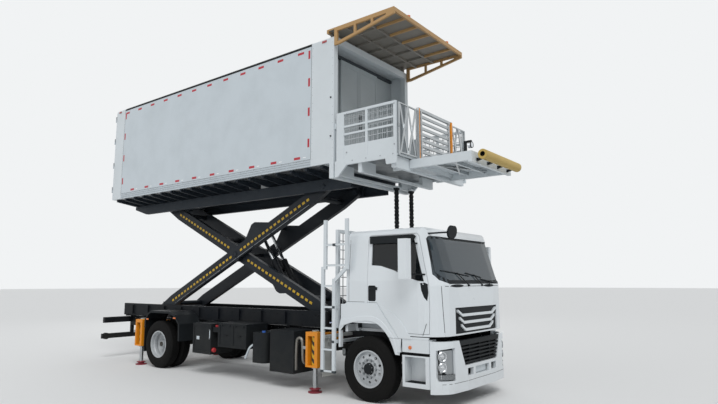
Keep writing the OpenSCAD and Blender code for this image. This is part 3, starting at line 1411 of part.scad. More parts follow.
module door_glass(side) in_frame() on_side(side) color("#39464e", 0.6)
    intersection() {
        difference() {
            cab_form(20);
            cab_form(27);
        }
        side_plate(inset_poly(door_window, 0.5), cab_y - 200, cab_y + 20);
    }

module cab_door_right() cab_door(-1);
module cab_door_left() cab_door(1);
module door_glass_right() door_glass(-1);
module door_glass_left() door_glass(1);

chassis_frame();
lift_base();
front_axle();
rear_axle();
engine();
bumper();
lower_grille();
headlamps();
cab_steps();
mudguards();
side_boxes();
fuel_tank();
ladder();
mesh_rack();
stabilizer_beams();
hose_chains();
knuckle_right();
knuckle_left();
front_tyre_right();
front_rim_right();
front_tyre_left();
front_rim_left();
rear_tyres_right();
rear_rims_right();
rear_tyres_left();
rear_rims_left();
leg_front_right();
leg_front_left();
leg_rear_right();
leg_rear_left();
scissor_inner();
scissor_outer();
cylinder_barrels();
cylinder_rods();
underframe();
body_floor();
side_walls();
roof();
end_frames();
canopy();
rear_door_right();
rear_door_left();
front_door_right();
front_door_left();
platform_deck();
platform_guards();
bridge_deck();
platform_gate();
bumper_roller();
cab_shell();
cab_grille();
windscreen();
cab_interior();
cab_door_right();
cab_door_left();
door_glass_right();
door_glass_left();
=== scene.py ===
# %% [markdown]
# A high-lift catering truck: a cab-over chassis, a scissor lift, a raised box body, and a
# platform with an extending bridge under a canopy. The solid model is loaded as a fixed frame.
# It already holds every moving piece at its real size. Here it gets its finishes, and the
# small pieces that a drawing leaves out: tread, nuts, tape, seals, wipers, mesh and chain links.

# %% Tools
import math

import bmesh
import bpy
from mathutils import Matrix, Vector


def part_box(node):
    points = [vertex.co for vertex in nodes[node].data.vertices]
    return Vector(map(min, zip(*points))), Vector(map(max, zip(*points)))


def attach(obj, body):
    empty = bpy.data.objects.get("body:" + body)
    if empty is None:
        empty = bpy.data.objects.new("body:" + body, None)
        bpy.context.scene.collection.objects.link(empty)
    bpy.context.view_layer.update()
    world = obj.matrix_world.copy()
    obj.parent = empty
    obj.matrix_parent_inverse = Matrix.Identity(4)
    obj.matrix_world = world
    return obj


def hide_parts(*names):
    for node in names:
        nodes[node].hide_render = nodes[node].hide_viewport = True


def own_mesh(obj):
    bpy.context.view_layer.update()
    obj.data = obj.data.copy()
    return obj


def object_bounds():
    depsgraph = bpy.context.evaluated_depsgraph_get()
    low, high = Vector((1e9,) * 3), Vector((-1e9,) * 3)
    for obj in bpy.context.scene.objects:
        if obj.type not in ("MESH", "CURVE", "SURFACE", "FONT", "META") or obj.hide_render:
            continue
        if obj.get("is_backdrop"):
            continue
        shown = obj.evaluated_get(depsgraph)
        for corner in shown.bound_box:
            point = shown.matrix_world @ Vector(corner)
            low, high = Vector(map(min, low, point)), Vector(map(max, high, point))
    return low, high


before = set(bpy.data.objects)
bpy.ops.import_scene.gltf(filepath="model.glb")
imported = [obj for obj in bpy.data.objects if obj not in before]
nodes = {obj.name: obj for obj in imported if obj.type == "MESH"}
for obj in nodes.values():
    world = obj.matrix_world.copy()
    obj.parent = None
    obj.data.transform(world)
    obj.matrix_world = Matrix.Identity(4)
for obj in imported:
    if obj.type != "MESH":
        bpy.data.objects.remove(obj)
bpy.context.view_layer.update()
print("nodes:", len(nodes))

# %% [markdown]
# Drawings of a truck count from its front axle. All sizes below are millimetres from there:
# x forward, y to the truck's left, z up from the ground. One function turns them into metres.

# %% Places
axle_low, axle_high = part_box("front_axle")
FRONT_AXLE_X = (axle_low[0] + axle_high[0]) / 2
# The wheels' centres
HUB_Z = 525
REAR_AXLE_X = -6000
# The stabiliser legs
LEG_XS, LEG_Y = (-1240, -6800), 1120
# The outer faces of the raised body, and the ends of its side panels
BOX_Y = 1250
PANEL_BACK, PANEL_FRONT = -7936, -1294
# The foam roller at the bridge's tip
ROLLER_X, ROLLER_Z = 1900, 3945
# The bumper's lamps: height and radius
HEADLAMPS = ((810, 66), (650, 62))
SIDES = ((-1, "right"), (1, "left"))


def at(x, y, z):
    return Vector((FRONT_AXLE_X + x / 1000, y / 1000, z / 1000))


print("front axle at x =", round(FRONT_AXLE_X, 4), "m")

# %% [markdown]
# Shapes are made with bmesh operators. A few small helpers cover most pieces: a block between
# two corners, a round bar between two points, a turned profile, and a flat outline with a
# thickness. A block and a plate can round their edges, because a real edge catches some light.

# %% Shape helpers
def block(bm, low, high, edge=0.0):
    low, high = at(*low), at(*high)
    place = Matrix.Translation((low + high) / 2) @ Matrix.Diagonal((*(high - low), 1))
    made = bmesh.ops.create_cube(bm, size=1, matrix=place)
    if edge:
        round_edges(bm, made["verts"], edge)


def round_edges(bm, verts, edge):
    edges = {e for v in verts for e in v.link_edges}
    bmesh.ops.bevel(bm, geom=list(edges), offset=edge / 1000, segments=2, profile=0.5,
                    affect="EDGES", material=-1)


def bar(bm, start, end, radius, sides=16, end_radius=None):
    start, end = at(*start), at(*end)
    line = end - start
    turn = line.to_track_quat("Z", "Y").to_matrix().to_4x4()
    tip = radius if end_radius is None else end_radius
    bmesh.ops.create_cone(bm, cap_ends=True, cap_tris=False, segments=sides,
                          radius1=radius / 1000, radius2=tip / 1000, depth=line.length,
                          matrix=Matrix.Translation((start + end) / 2) @ turn)


def side_block(bm, side, low, high, edge=0.0):
    """A block on one side of the truck, with y counted outwards from the middle."""
    (x0, y0, z0), (x1, y1, z1) = low, high
    y0, y1 = sorted((side * y0, side * y1))
    block(bm, (x0, y0, z0), (x1, y1, z1), edge)


def side_bar(bm, side, x, z, y0, y1, radius, sides, end_radius=None):
    """A bar that points outwards on one side of the truck, from y0 to y1."""
    bar(bm, (x, side * y0, z), (x, side * y1, z), radius, sides, end_radius)


def turned(bm, profile, centre, axis, steps, closed=True):
    """profile is (radius, offset along the axis) in millimetres."""
    centre, axis = at(*centre), Vector(axis)
    out = axis.orthogonal().normalized()
    ring = [bm.verts.new(centre + out * r / 1000 + axis * h / 1000) for r, h in profile]
    pairs = list(zip(ring, ring[1:]))
    if closed:
        pairs.append((ring[-1], ring[0]))
    edges = [bm.edges.new(pair) for pair in pairs]
    bmesh.ops.spin(bm, geom=ring + edges, cent=centre, axis=axis, angle=math.tau,
                   steps=steps, use_merge=True)


def plate(bm, points, direction, thickness, edge=0.0):
    """points are corners of a flat outline; it is thickened along direction."""
    corners = [bm.verts.new(at(*point)) for point in points]
    face = bm.faces.new(corners)
    grown = bmesh.ops.extrude_face_region(bm, geom=[face])
    fresh = [g for g in grown["geom"] if isinstance(g, bmesh.types.BMVert)]
    bmesh.ops.translate(bm, verts=fresh, vec=Vector(direction).normalized() * thickness / 1000)
    if edge:
        round_edges(bm, corners + fresh, edge)


def oval(count, wide, tall, u, v, first=0.0):
    """Points evenly round a circle or an oval, such as the places of a ring of nuts."""
    turns = [first + math.tau * i / count for i in range(count)]
    return [(u + wide * math.cos(turn), v + tall * math.sin(turn)) for turn in turns]


def both(make):
    """Runs a maker for the truck's right side, at minus y, and for its left side."""
    for side in (-1, 1):
        make(side)

# %% [markdown]
# A finished mesh becomes an object at the origin. It rides on one body of the model, takes one
# finish, and can stand in for a solid of the model. Normals are recalculated, because a turned
# or mirrored shape may have come out inside out.

# %% Piece maker
def piece(name, bm, body, finish, stands_for=(), smooth=35):
    bmesh.ops.remove_doubles(bm, verts=bm.verts, dist=1e-6)
    bmesh.ops.recalc_face_normals(bm, faces=bm.faces)
    mesh = bpy.data.meshes.new(name)
    bm.to_mesh(mesh)
    bm.free()
    made = bpy.data.objects.new(name, mesh)
    bpy.context.scene.collection.objects.link(made)
    mesh.materials.append(finish)
    if smooth:
        mesh.shade_smooth()
        mesh.set_sharp_from_angle(angle=math.radians(smooth))
    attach(made, body)
    if stands_for:
        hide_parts(*stands_for)
    print(name, len(mesh.polygons), "faces")
    return made

# %% [markdown]
# Colours are written as sRGB hex values, as a colour picker shows them. The shader works with
# linear light, so one function turns them. Another adds a node with its settings and links. Each
# finish starts from a plain shader, and from the place of each point on the piece.

# %% Colour and node helpers
def linear(code):
    channels = [int(code[i:i + 2], 16) / 255 for i in (1, 3, 5)]
    return (*[c / 12.92 if c <= 0.04045 else ((c + 0.055) / 1.055) ** 2.4 for c in channels], 1.0)


def fill(tree, node, inputs):
    for key, value in inputs.items():
        if isinstance(value, bpy.types.NodeSocket):
            tree.links.new(value, node.inputs[key])
        else:
            node.inputs[key].default_value = value


def add(tree, kind, inputs=None, **settings):
    node = tree.nodes.new(kind)
    for key, value in settings.items():
        setattr(node, key, value)
    fill(tree, node, inputs or {})
    return node


def blank(name):
    finish = bpy.data.materials.new(name)
    finish.use_nodes = True
    tree = finish.node_tree
    tree.nodes.clear()
    shader = add(tree, "ShaderNodeBsdfPrincipled")
    add(tree, "ShaderNodeOutputMaterial", {"Surface": shader.outputs["BSDF"]})
    place = add(tree, "ShaderNodeTexCoord").outputs["Object"]
    return finish, tree, shader, place


# %% [markdown]
# Sprayed paint is one colour with three faint faults: a cloudy drift in colour where dust has
# settled, gloss that varies over a hand's breadth, and the fine orange peel of a spray gun.
# Real orange peel is 2 to 4 mm wide, too fine for this distance, so it is drawn at 12 mm.

# %% Paint
def paint(name, colour, dust="#8F8A80", dusty=0.08, rough=0.35, coat=0.0, peel=0.03, low_dust=0.0,
          gloss=0.5):
    finish, tree, shader, place = blank(name)
    cloud = add(tree, "ShaderNodeTexNoise", {"Vector": place, "Scale": 1.7, "Detail": 6.0,
                                             "Roughness": 0.62})
    amount = add(tree, "ShaderNodeMapRange", {"Value": cloud.outputs["Fac"], "From Min": 0.42,
                                              "From Max": 0.75, "To Min": 0.0, "To Max": dusty})
    fac = amount.outputs["Result"]
    if low_dust:
        # Road dust gathers low down and fades out about 1.2 m above the ground
        height = add(tree, "ShaderNodeSeparateXYZ", {"Vector": place})
        fade = add(tree, "ShaderNodeMapRange", {"Value": height.outputs["Z"], "From Min": 1.2,
                                                "From Max": 0.1, "To Min": 0.0, "To Max": low_dust})
        grain = add(tree, "ShaderNodeTexNoise", {"Vector": place, "Scale": 9.0, "Detail": 8.0})
        both_dusts = add(tree, "ShaderNodeMath", {0: fade.outputs["Result"],
                                                  1: grain.outputs["Fac"]}, operation="MULTIPLY")
        fac = add(tree, "ShaderNodeMath", {0: both_dusts.outputs[0], 1: fac}, operation="ADD",
                  use_clamp=True).outputs[0]
    tint = add(tree, "ShaderNodeMix", {"Factor": fac, "A": linear(colour), "B": linear(dust)},
               data_type="RGBA")
    sheen = add(tree, "ShaderNodeTexNoise", {"Vector": place, "Scale": 5.0, "Detail": 4.0})
    level = add(tree, "ShaderNodeMapRange", {"Value": sheen.outputs["Fac"], "To Min": rough - 0.08,
                                             "To Max": rough + 0.12})
    ripple = add(tree, "ShaderNodeTexNoise", {"Vector": place, "Scale": 80.0, "Detail": 2.0})
    bump = add(tree, "ShaderNodeBump", {"Height": ripple.outputs["Fac"], "Strength": peel,
                                        "Distance": 0.002})
    fill(tree, shader, {"Base Color": tint.outputs["Result"], "Specular IOR Level": gloss,
                        "Roughness": level.outputs["Result"], "Normal": bump.outputs["Normal"]})
    if coat:
        fill(tree, shader, {"Coat Weight": coat, "Coat Roughness": 0.08})
    return finish


# Two-pack gloss enamel on the cab: clear coat, hardly any dust
cab_enamel = paint("cab_gloss_enamel", "#D6DCE0", dusty=0.05, rough=0.3, coat=0.6, peel=0.015,
                   low_dust=0.25)
# Glass-fibre faced panels: satin gel coat with a faint grey drift
panel_gelcoat = paint("panel_gelcoat", "#C3CCD2", dust="#9FA8AD", dusty=0.25, rough=0.42, peel=0.02)
# Powder coat: even, satin and slightly rough
white_powder = paint("white_powder_coat", "#CFD6DA", dust="#9BA0A0", dusty=0.12, rough=0.45, peel=0.06)
chassis_enamel = paint("chassis_black_enamel", "#11151A", dust="#6F6A60", dusty=0.06, rough=0.5,
                       low_dust=0.25, gloss=0.14)
arm_enamel = paint("scissor_slate_enamel", "#151B22", dust="#5C5F60", dusty=0.07, rough=0.45,
                   gloss=0.25)
underframe_enamel = paint("underframe_slate_enamel", "#202830", dust="#6A6D6E", dusty=0.08, rough=0.5,
                          gloss=0.25)
orange_powder = paint("orange_powder_coat", "#DE8A10", dust="#8A6A3A", dusty=0.15, rough=0.42)
yellow_marking = paint("yellow_marking_paint", "#C9A21C", dust="#6E6038", dusty=0.3, rough=0.5)
foot_enamel = paint("foot_dark_red_enamel", "#8C1730", dust="#5A4A44", dusty=0.3, rough=0.5,
                    low_dust=0.4)
canopy_powder = paint("canopy_ochre_powder_coat", "#AE8A5A", dust="#7C7264", dusty=0.15, rough=0.5)
canopy_sheet = paint("canopy_grey_sheet", "#7F7B74", dust="#66625C", dusty=0.3, rough=0.55)
bulkhead_enamel = paint("bulkhead_grey_enamel", "#AEB6B9", dust="#8A9092", dusty=0.2, rough=0.45)
box_enamel = paint("black_tank_moulding", "#15191D", dust="#5A5850", dusty=0.08, rough=0.55,
                   low_dust=0.2, gloss=0.14)
rim_enamel = paint("wheel_silver_enamel", "#B9BEC2", dust="#6C675E", dusty=0.25, rough=0.32,
                   low_dust=0.3)
iron_enamel = paint("axle_cast_iron", "#24282C", dust="#6F685C", dusty=0.3, rough=0.65, peel=0.2,
                    low_dust=0.4, gloss=0.14)
red_lens = paint("red_lamp_lens", "#9E1420", dusty=0.05, rough=0.15, coat=0.8, peel=0.0)
amber_lens = paint("amber_lamp_lens", "#D96B12", dusty=0.05, rough=0.15, coat=0.8, peel=0.0)
blue_cap = paint("blue_moulded_cap", "#2F62B8", dusty=0.1, rough=0.4)
red_cap = paint("red_moulded_cap", "#B0232A", dusty=0.1, rough=0.4)
red_tape = paint("red_reflective_tape", "#B01E30", dusty=0.05, rough=0.3, peel=0.0)
white_tape = paint("white_reflective_tape", "#EDEFF0", dusty=0.05, rough=0.3, peel=0.0)
print("paints:", len(bpy.data.materials))

# %% [markdown]
# Bare metals differ by how they were finished. Extruded aluminium is drawn lengthwise and has
# fine lines, zinc plate is cloudy and satin, and polished chrome rods are nearly mirrors.

# %% Metals
def metal(name, colour, rough=0.35, lines=(1, 1, 1), bump_strength=0.05):
    """lines stretches the grain: a small number makes long lines along that axis."""
    finish, tree, shader, place = blank(name)
    stretch = add(tree, "ShaderNodeMapping", {"Vector": place, "Scale": lines})
    # Real lines are under 1 mm apart; at 7 mm they still show in the main view
    grain = add(tree, "ShaderNodeTexNoise", {"Vector": stretch.outputs["Vector"],
                                             "Scale": 140.0, "Detail": 3.0})
    cloud = add(tree, "ShaderNodeTexNoise", {"Vector": place, "Scale": 3.0, "Detail": 5.0})
    tint = add(tree, "ShaderNodeMix", {"Factor": cloud.outputs["Fac"], "A": linear(colour),
                                       "B": tuple(c * 0.72 for c in linear(colour)[:3]) + (1,)},
               data_type="RGBA")
    level = add(tree, "ShaderNodeMapRange", {"Value": grain.outputs["Fac"], "To Min": rough - 0.08,
                                             "To Max": rough + 0.12})
    bump = add(tree, "ShaderNodeBump", {"Height": grain.outputs["Fac"], "Strength": bump_strength,
                                        "Distance": 0.001})
    fill(tree, shader, {"Base Color": tint.outputs["Result"], "Metallic": 1.0,
                        "Roughness": level.outputs["Result"], "Normal": bump.outputs["Normal"]})
    return finish


extruded_aluminium = metal("extruded_aluminium", "#C4C8CA", rough=0.38, lines=(0.03, 1, 1))
tank_aluminium = metal("rolled_tank_aluminium", "#B4B8BA", rough=0.35, lines=(1, 0.05, 0.05))
rod_chrome = metal("hard_chrome", "#D5D8DA", rough=0.12, bump_strength=0.01)
leg_steel = metal("ground_leg_steel", "#C3C6C8", rough=0.22, lines=(1, 1, 0.05))
zinc_steel = metal("zinc_plated_steel", "#A9ADB0", rough=0.42)
mirror_silver = metal("mirror_silver", "#DDE1E4", rough=0.03, bump_strength=0.0)
exhaust_steel = metal("exhaust_stainless", "#8E8B85", rough=0.42, lines=(1, 1, 0.2))
lamp_reflector = metal("lamp_reflector", "#E2E5E8", rough=0.08, bump_strength=0.0)
print("paints and metals:", len(bpy.data.materials))


# %% [markdown]
# A loading floor is aluminium checker plate: short raised bars at right angles, about 25 mm
# apart. The pattern is far smaller than a pixel in the main view, so it is drawn at 60 mm.

# %% Checker plate
def checker_plate(name, colour):
    finish, tree, shader, place = blank(name)
    bars_a = add(tree, "ShaderNodeTexWave", {"Vector": place, "Scale": 9.0, "Distortion": 0.0},
                 wave_type="BANDS", bands_direction="DIAGONAL")
    turn = add(tree, "ShaderNodeMapping", {"Vector": place, "Rotation": (0, 0, math.pi / 2)})
    bars_b = add(tree, "ShaderNodeTexWave", {"Vector": turn.outputs["Vector"], "Scale": 9.0},
                 wave_type="BANDS", bands_direction="DIAGONAL")
    marks = add(tree, "ShaderNodeMath", {0: bars_a.outputs["Fac"], 1: bars_b.outputs["Fac"]},
                operation="MULTIPLY")
    wear = add(tree, "ShaderNodeTexNoise", {"Vector": place, "Scale": 4.0, "Detail": 6.0})
    tint = add(tree, "ShaderNodeMix", {"Factor": wear.outputs["Fac"], "A": linear(colour),
                                       "B": linear("#5E6264")}, data_type="RGBA")
    level = add(tree, "ShaderNodeMapRange", {"Value": wear.outputs["Fac"], "To Min": 0.3,
                                             "To Max": 0.6})
    bump = add(tree, "ShaderNodeBump", {"Height": marks.outputs[0], "Strength": 0.35,
                                        "Distance": 0.004})
    fill(tree, shader, {"Base Color": tint.outputs["Result"], "Metallic": 0.75,
                        "Roughness": level.outputs["Result"], "Normal": bump.outputs["Normal"]})
    return finish


floor_plate = checker_plate("aluminium_checker_plate", "#9A9FA2")
print("with the checker plate:", len(bpy.data.materials))

# %% [markdown]
# Rubber, moulded plastic, foam and cloth are all dull. What tells them apart is the size of
# their grain, and how much light they scatter back at a grazing angle.

# %% Dull materials
def dull(name, colour, second, grains, rough, bump_strength, sheen=0.0):
    """grains is how many grains of the surface lie in a metre."""
    finish, tree, shader, place = blank(name)
    grain = add(tree, "ShaderNodeTexNoise", {"Vector": place, "Scale": grains, "Detail": 6.0,
                                             "Roughness": 0.6})
    cloud = add(tree, "ShaderNodeTexNoise", {"Vector": place, "Scale": 2.5, "Detail": 5.0})
    tint = add(tree, "ShaderNodeMix", {"Factor": cloud.outputs["Fac"], "A": linear(colour),
                                       "B": linear(second)}, data_type="RGBA")
    bump = add(tree, "ShaderNodeBump", {"Height": grain.outputs["Fac"], "Strength": bump_strength,
                                        "Distance": 0.002})
    fill(tree, shader, {"Base Color": tint.outputs["Result"], "Roughness": rough,
                        "Normal": bump.outputs["Normal"], "Specular IOR Level": 0.15,
                        "Sheen Weight": sheen})
    return finish


tyre_rubber = dull("tyre_rubber", "#08090A", "#151413", 60, 0.8, 0.25)
seal_rubber = dull("seal_rubber", "#101213", "#1B1D1E", 90, 0.6, 0.1)
black_moulding = dull("black_grained_moulding", "#15181A", "#1F2326", 220, 0.52, 0.2)
grey_moulding = dull("grey_moulding", "#3A3F43", "#4A5054", 220, 0.5, 0.15)
flap_rubber = dull("white_mud_flap", "#CFD2D2", "#A8A7A0", 40, 0.6, 0.1)
bumper_foam = dull("tan_bumper_foam", "#CDB26A", "#B09552", 30, 0.85, 0.3, sheen=0.2)
seat_cloth = dull("woven_seat_cloth", "#2F3337", "#3B4044", 350, 0.9, 0.35, sheen=0.4)
link_plastic = dull("chain_link_nylon", "#15181B", "#24282B", 150, 0.55, 0.15)
wheel_grip = dull("steering_wheel_grip", "#131415", "#1C1D1E", 260, 0.6, 0.2)
print("with the dull ones:", len(bpy.data.materials))


# %% [markdown]
# Truck glass is grey-green and thin. In daylight it mirrors the sky, so it has a low roughness
# and keeps some of its own colour. Its edge is printed black where it is glued to the cab.

# %% Glass
def tinted_glass(name, colour, opacity, gloss=0.5):
    finish, tree, shader, place = blank(name)
    smear = add(tree, "ShaderNodeTexNoise", {"Vector": place, "Scale": 3.0, "Detail": 3.0})
    bump = add(tree, "ShaderNodeBump", {"Height": smear.outputs["Fac"], "Strength": 0.02,
                                        "Distance": 0.01})
    fill(tree, shader, {"Base Color": linear(colour), "Roughness": 0.03, "Alpha": opacity,
                        "Specular IOR Level": gloss, "Normal": bump.outputs["Normal"]})
    return finish


screen_glass = tinted_glass("tinted_windscreen_glass", "#39444B", 0.86, 0.6)
window_glass = tinted_glass("dark_window_glass", "#0E1316", 0.82, 0.3)
lamp_cover = tinted_glass("clear_lamp_cover", "#DDE4E8", 0.25)
print("finishes:", len(bpy.data.materials))

# %% [markdown]
# Warning stripes slant round the tube of each stabiliser: 75 mm black, then 75 mm yellow. They
# are one sawtooth across height plus distance round the tube, cut in two by a threshold.

# %% Warning stripes
def slanted_stripes(name, first, second, pitch):
    finish, tree, shader, place = blank(name)
    part = add(tree, "ShaderNodeSeparateXYZ", {"Vector": place})
    side = add(tree, "ShaderNodeMath", {0: part.outputs["X"], 1: part.outputs["Y"]},
               operation="SUBTRACT")
    slope = add(tree, "ShaderNodeMath", {0: part.outputs["Z"], 1: side.outputs[0]}, operation="ADD")
    turns = add(tree, "ShaderNodeMath", {0: slope.outputs[0], 1: pitch / 1000}, operation="DIVIDE")
    saw = add(tree, "ShaderNodeMath", {0: turns.outputs[0]}, operation="FRACT")
    half = add(tree, "ShaderNodeMath", {0: saw.outputs[0], 1: 0.5}, operation="GREATER_THAN")
    tint = add(tree, "ShaderNodeMix", {"Factor": half.outputs[0], "A": linear(first),
                                       "B": linear(second)}, data_type="RGBA")
    wear = add(tree, "ShaderNodeTexNoise", {"Vector": place, "Scale": 14.0, "Detail": 8.0})
    dirty = add(tree, "ShaderNodeMapRange", {"Value": wear.outputs["Fac"], "From Min": 0.5,
                                             "From Max": 0.8, "To Max": 0.35})
    worn = add(tree, "ShaderNodeMix", {"Factor": dirty.outputs["Result"], "A": tint.outputs["Result"],
                                       "B": linear("#6A6048")}, data_type="RGBA")
    fill(tree, shader, {"Base Color": worn.outputs["Result"], "Roughness": 0.45})
    return finish


tube_stripes = slanted_stripes("black_and_yellow_stripes", "#17191B", "#D2A81E", 150)
print("with the stripes:", len(bpy.data.materials))


# %% [markdown]
# Each solid of the model now gets its finishes. Where one solid has several, a rule picks one
# for each face from where the face lies, in the same millimetres, and from where it points.

# %% Finishes on the model
def dress(names, finishes, pick=None):
    """pick gets a face's middle, its normal, and its foremost and outermost corner."""
    for name in names.split():
        mesh = nodes[name].data
        mesh.materials.clear()
        for finish in finishes:
            mesh.materials.append(finish)
        if pick is None:
            continue
        points = [((v.co.x - FRONT_AXLE_X) * 1000, abs(v.co.y) * 1000, v.co.z * 1000, v.co.y)
                  for v in mesh.vertices]
        for face in mesh.polygons:
            corners = [points[i] for i in face.vertices]
            x, y, z = (sum(c[k] for c in corners) / len(corners) for k in range(3))
            near, far = max(c[0] for c in corners), max(c[1] for c in corners)
            normal = face.normal
            out = normal.y if corners[0][3] >= 0 else -normal.y
            face.material_index = pick(x, y, z, (normal.x, out, normal.z), near, far)


dress("chassis_frame lift_base", [chassis_enamel])
dress("front_axle rear_axle knuckle_right knuckle_left engine", [iron_enamel])
dress("bumper", [cab_enamel])
dress("lower_grille", [black_moulding])


def lamp_face(x, y, z, n, near, far):
    for height, radius in HEADLAMPS:
        if math.hypot(y - 1080, z - height) < radius + 7 and 1270 < x < 1345 and near < 1346:
            return 1
    if 560 < z < 895 and n[0] > 0.3 and abs(n[2]) < 0.5:
        return 3
    return 2 if z < 545 and n[0] > 0.2 else 0


dress("headlamps", [black_moulding, lamp_reflector, lamp_cover, zinc_steel], lamp_face)


def step_face(x, y, z, n, near, far):
    if far > 1222.5 and z > 880 and x > 700:
        return 2
    if far > 1221 and x < 700:
        return 0
    tread = (y < 1218 and 802 < z < 858) or (z < 401 and n[2] > 0.5 and x > 715)
    return 1 if tread or x < 656 or y < 1028 else 0


dress("cab_steps", [cab_enamel, black_moulding, amber_lens], step_face)
dress("mudguards", [black_moulding, flap_rubber, seal_rubber],
      lambda x, y, z, n, near, far: 1 if x > -1100 else 2 if x < -6540 and z < 880 else 0)
dress("side_boxes", [box_enamel, exhaust_steel, blue_cap, red_cap, chassis_enamel],
      lambda x, y, z, n, near, far: 1 if x > -1690 and y > 880 else 2 if -2700 < x < -2580 and z > 961
      else 3 if -4060 < x < -3930 and z > 1001 else 4 if y < 649 else 0)
dress("fuel_tank", [tank_aluminium, chassis_enamel],
      lambda x, y, z, n, near, far: 1 if (-1991 < x < -1929 or -1711 < x < -1649)
      and not (z > 1001 and y < 1130) and (far > 1201 or y < 661 or z > 1001 or z < 379) else 0)
dress("ladder", [white_powder])
dress("mesh_rack", [white_powder, zinc_steel],
      lambda x, y, z, n, near, far: 1 if -694 < x < -672 and near < -672 else 0)
dress("stabilizer_beams", [orange_powder, tube_stripes],
      lambda x, y, z, n, near, far: 1 if z < 1061
      and min(math.hypot(x - leg_x, y - LEG_Y) for leg_x in LEG_XS) < 69 else 0)
dress("leg_front_right leg_front_left leg_rear_right leg_rear_left", [leg_steel, foot_enamel],
      lambda x, y, z, n, near, far: 1 if z < 84.5 else 0)
dress("hose_chains", [link_plastic])
dress("front_tyre_right front_tyre_left rear_tyres_right rear_tyres_left", [tyre_rubber])
dress("front_rim_right front_rim_left", [rim_enamel, black_moulding, zinc_steel],
      lambda x, y, z, n, near, far: 1 if math.hypot(x, z - HUB_Z) < 101 and y > 1030
      else 2 if 120 < math.hypot(x, z - HUB_Z) < 157 and y > 1181 else 0)
dress("rear_rims_right rear_rims_left", [rim_enamel, zinc_steel],
      lambda x, y, z, n, near, far: 1 if y > 952.5
      and 120 < math.hypot(x - REAR_AXLE_X, z - HUB_Z) < 157 else 0)
dress("scissor_inner scissor_outer", [arm_enamel, zinc_steel],
      lambda x, y, z, n, near, far: 1 if y > 544 and x < -6800 else 0)
dress("cylinder_barrels", [chassis_enamel])
dress("cylinder_rods", [rod_chrome])
dress("underframe", [underframe_enamel])
dress("body_floor", [floor_plate, extruded_aluminium, panel_gelcoat],
      lambda x, y, z, n, near, far: 2 if y > 1199.5 and -7941 < x < -1289 else 1 if z < 4061 else 0)
dress("side_walls", [panel_gelcoat])
dress("roof", [panel_gelcoat, black_moulding],
      lambda x, y, z, n, near, far: 1 if n[1] > 0.5 and n[2] > 0.5 else 0)
dress("end_frames", [white_powder, bulkhead_enamel, grey_moulding, floor_plate, zinc_steel],
      lambda x, y, z, n, near, far: 4 if near < -8339.5 and y > 1235
      else 2 if -1141 < x < -1077 and 6304 < z < 6361 else 1 if -1181 < x < -1139 and y < 1201
      else 3 if x > -1081 and z < 4141 and y < 1141 and near > -1000 and n[2] > 0.5 else 0)
dress("canopy", [canopy_powder, canopy_sheet, amber_lens],
      lambda x, y, z, n, near, far: 2 if z > 6620.5
      else 1 if (z > 6589.5 and abs(n[2]) > 0.5) or (z < 6619 and near < 569 and y < 1205) else 0)
dress("rear_door_right rear_door_left", [panel_gelcoat, zinc_steel],
      lambda x, y, z, n, near, far: 1 if near < -8384 or x < -8387 else 0)
dress("front_door_right front_door_left", [bulkhead_enamel, grey_moulding],
      lambda x, y, z, n, near, far: 1 if x > -1089.5 or z > 6299 else 0)
dress("platform_deck", [white_powder, floor_plate],
      lambda x, y, z, n, near, far: 1 if far < 1211 and 4019 < z < 4051 and abs(n[2]) > 0.5 else 0)
dress("platform_guards", [white_powder, zinc_steel],
      lambda x, y, z, n, near, far: 1 if 1219 < y < 1235 and far < 1235 and z > 4330 else 0)
dress("platform_gate", [extruded_aluminium])


def bridge_face(x, y, z, n, near, far):
    if x > 1751 and z < 4030:
        return 3
    if z > 4055 and y < 801 and 1744 < near < 1745.5:
        return 4
    if z > 4010.5:
        return 3
    if z > 4009 and y < 720:
        return 1
    return 2 if (y < 719 and x < 1689) or near > 1751 else 0


dress("bridge_deck", [white_powder, floor_plate, extruded_aluminium, black_moulding,
                      lamp_reflector], bridge_face)
dress("bumper_roller", [bumper_foam, black_moulding],
      lambda x, y, z, n, near, far: 1 if y > 659
      and math.hypot(x - ROLLER_X, z - ROLLER_Z) < 43 else 0)


def cab_face(x, y, z, n, near, far):
    """The inner walls face the cab's middle, at x 475, z 1900."""
    if near > 1180 and z > 2590 and far < 1180 and x > 1040:
        return 1
    if z < 1110 and y < 600 and x > 800:
        return 2
    # Faces that point down, low over the wheel arch and under the cab floor, take black moulding:
    # partly a real black arch lining, partly painted shade that keeps the wheel house dark.
    if n[2] < -0.3 and z < 1300 and x < 700:
        return 1
    inward = n[0] * (475 - x) + n[1] * (0 - y) + n[2] * (1900 - z)
    return 3 if inward > 0 and -401 < x < 1352 and y < 1171 and z > 1149 else 0


dress("cab_shell", [cab_enamel, black_moulding, iron_enamel, grey_moulding], cab_face)
dress("cab_grille", [black_moulding, cab_enamel],
      lambda x, y, z, n, near, far: 1 if near > 1398 else 0)
dress("windscreen", [screen_glass])
dress("door_glass_right door_glass_left", [window_glass])
dress("cab_interior", [grey_moulding, seat_cloth, wheel_grip, panel_gelcoat],
      lambda x, y, z, n, near, far: 3 if x < 61 and y > 499 and z < 1301
      else 1 if x < 620 and z > 1399 else 2 if 660 < x < 1130 and near < 1131 and z > 1640
      and 290 < y < 770 else 0)
dress("cab_door_right cab_door_left", [cab_enamel, black_moulding, grey_moulding, mirror_silver],
      lambda x, y, z, n, near, far: 3 if y > 1399 and near < 821 and n[0] < -0.6
      else 0 if y > 1399 else 1 if far > 1220.5 or (far > 1170 and 2562 < z < 2692 and x < 930)
      else 2 if n[1] < -0.2 else 0)
print("faces on the solids:", sum(len(node.data.polygons) for node in nodes.values()))

# %% [markdown]
# The stage is one pale floor, and a world that looks nearly white to the camera, to metal and
# to glass, but lights the truck softly. The floor is far wider than the view.

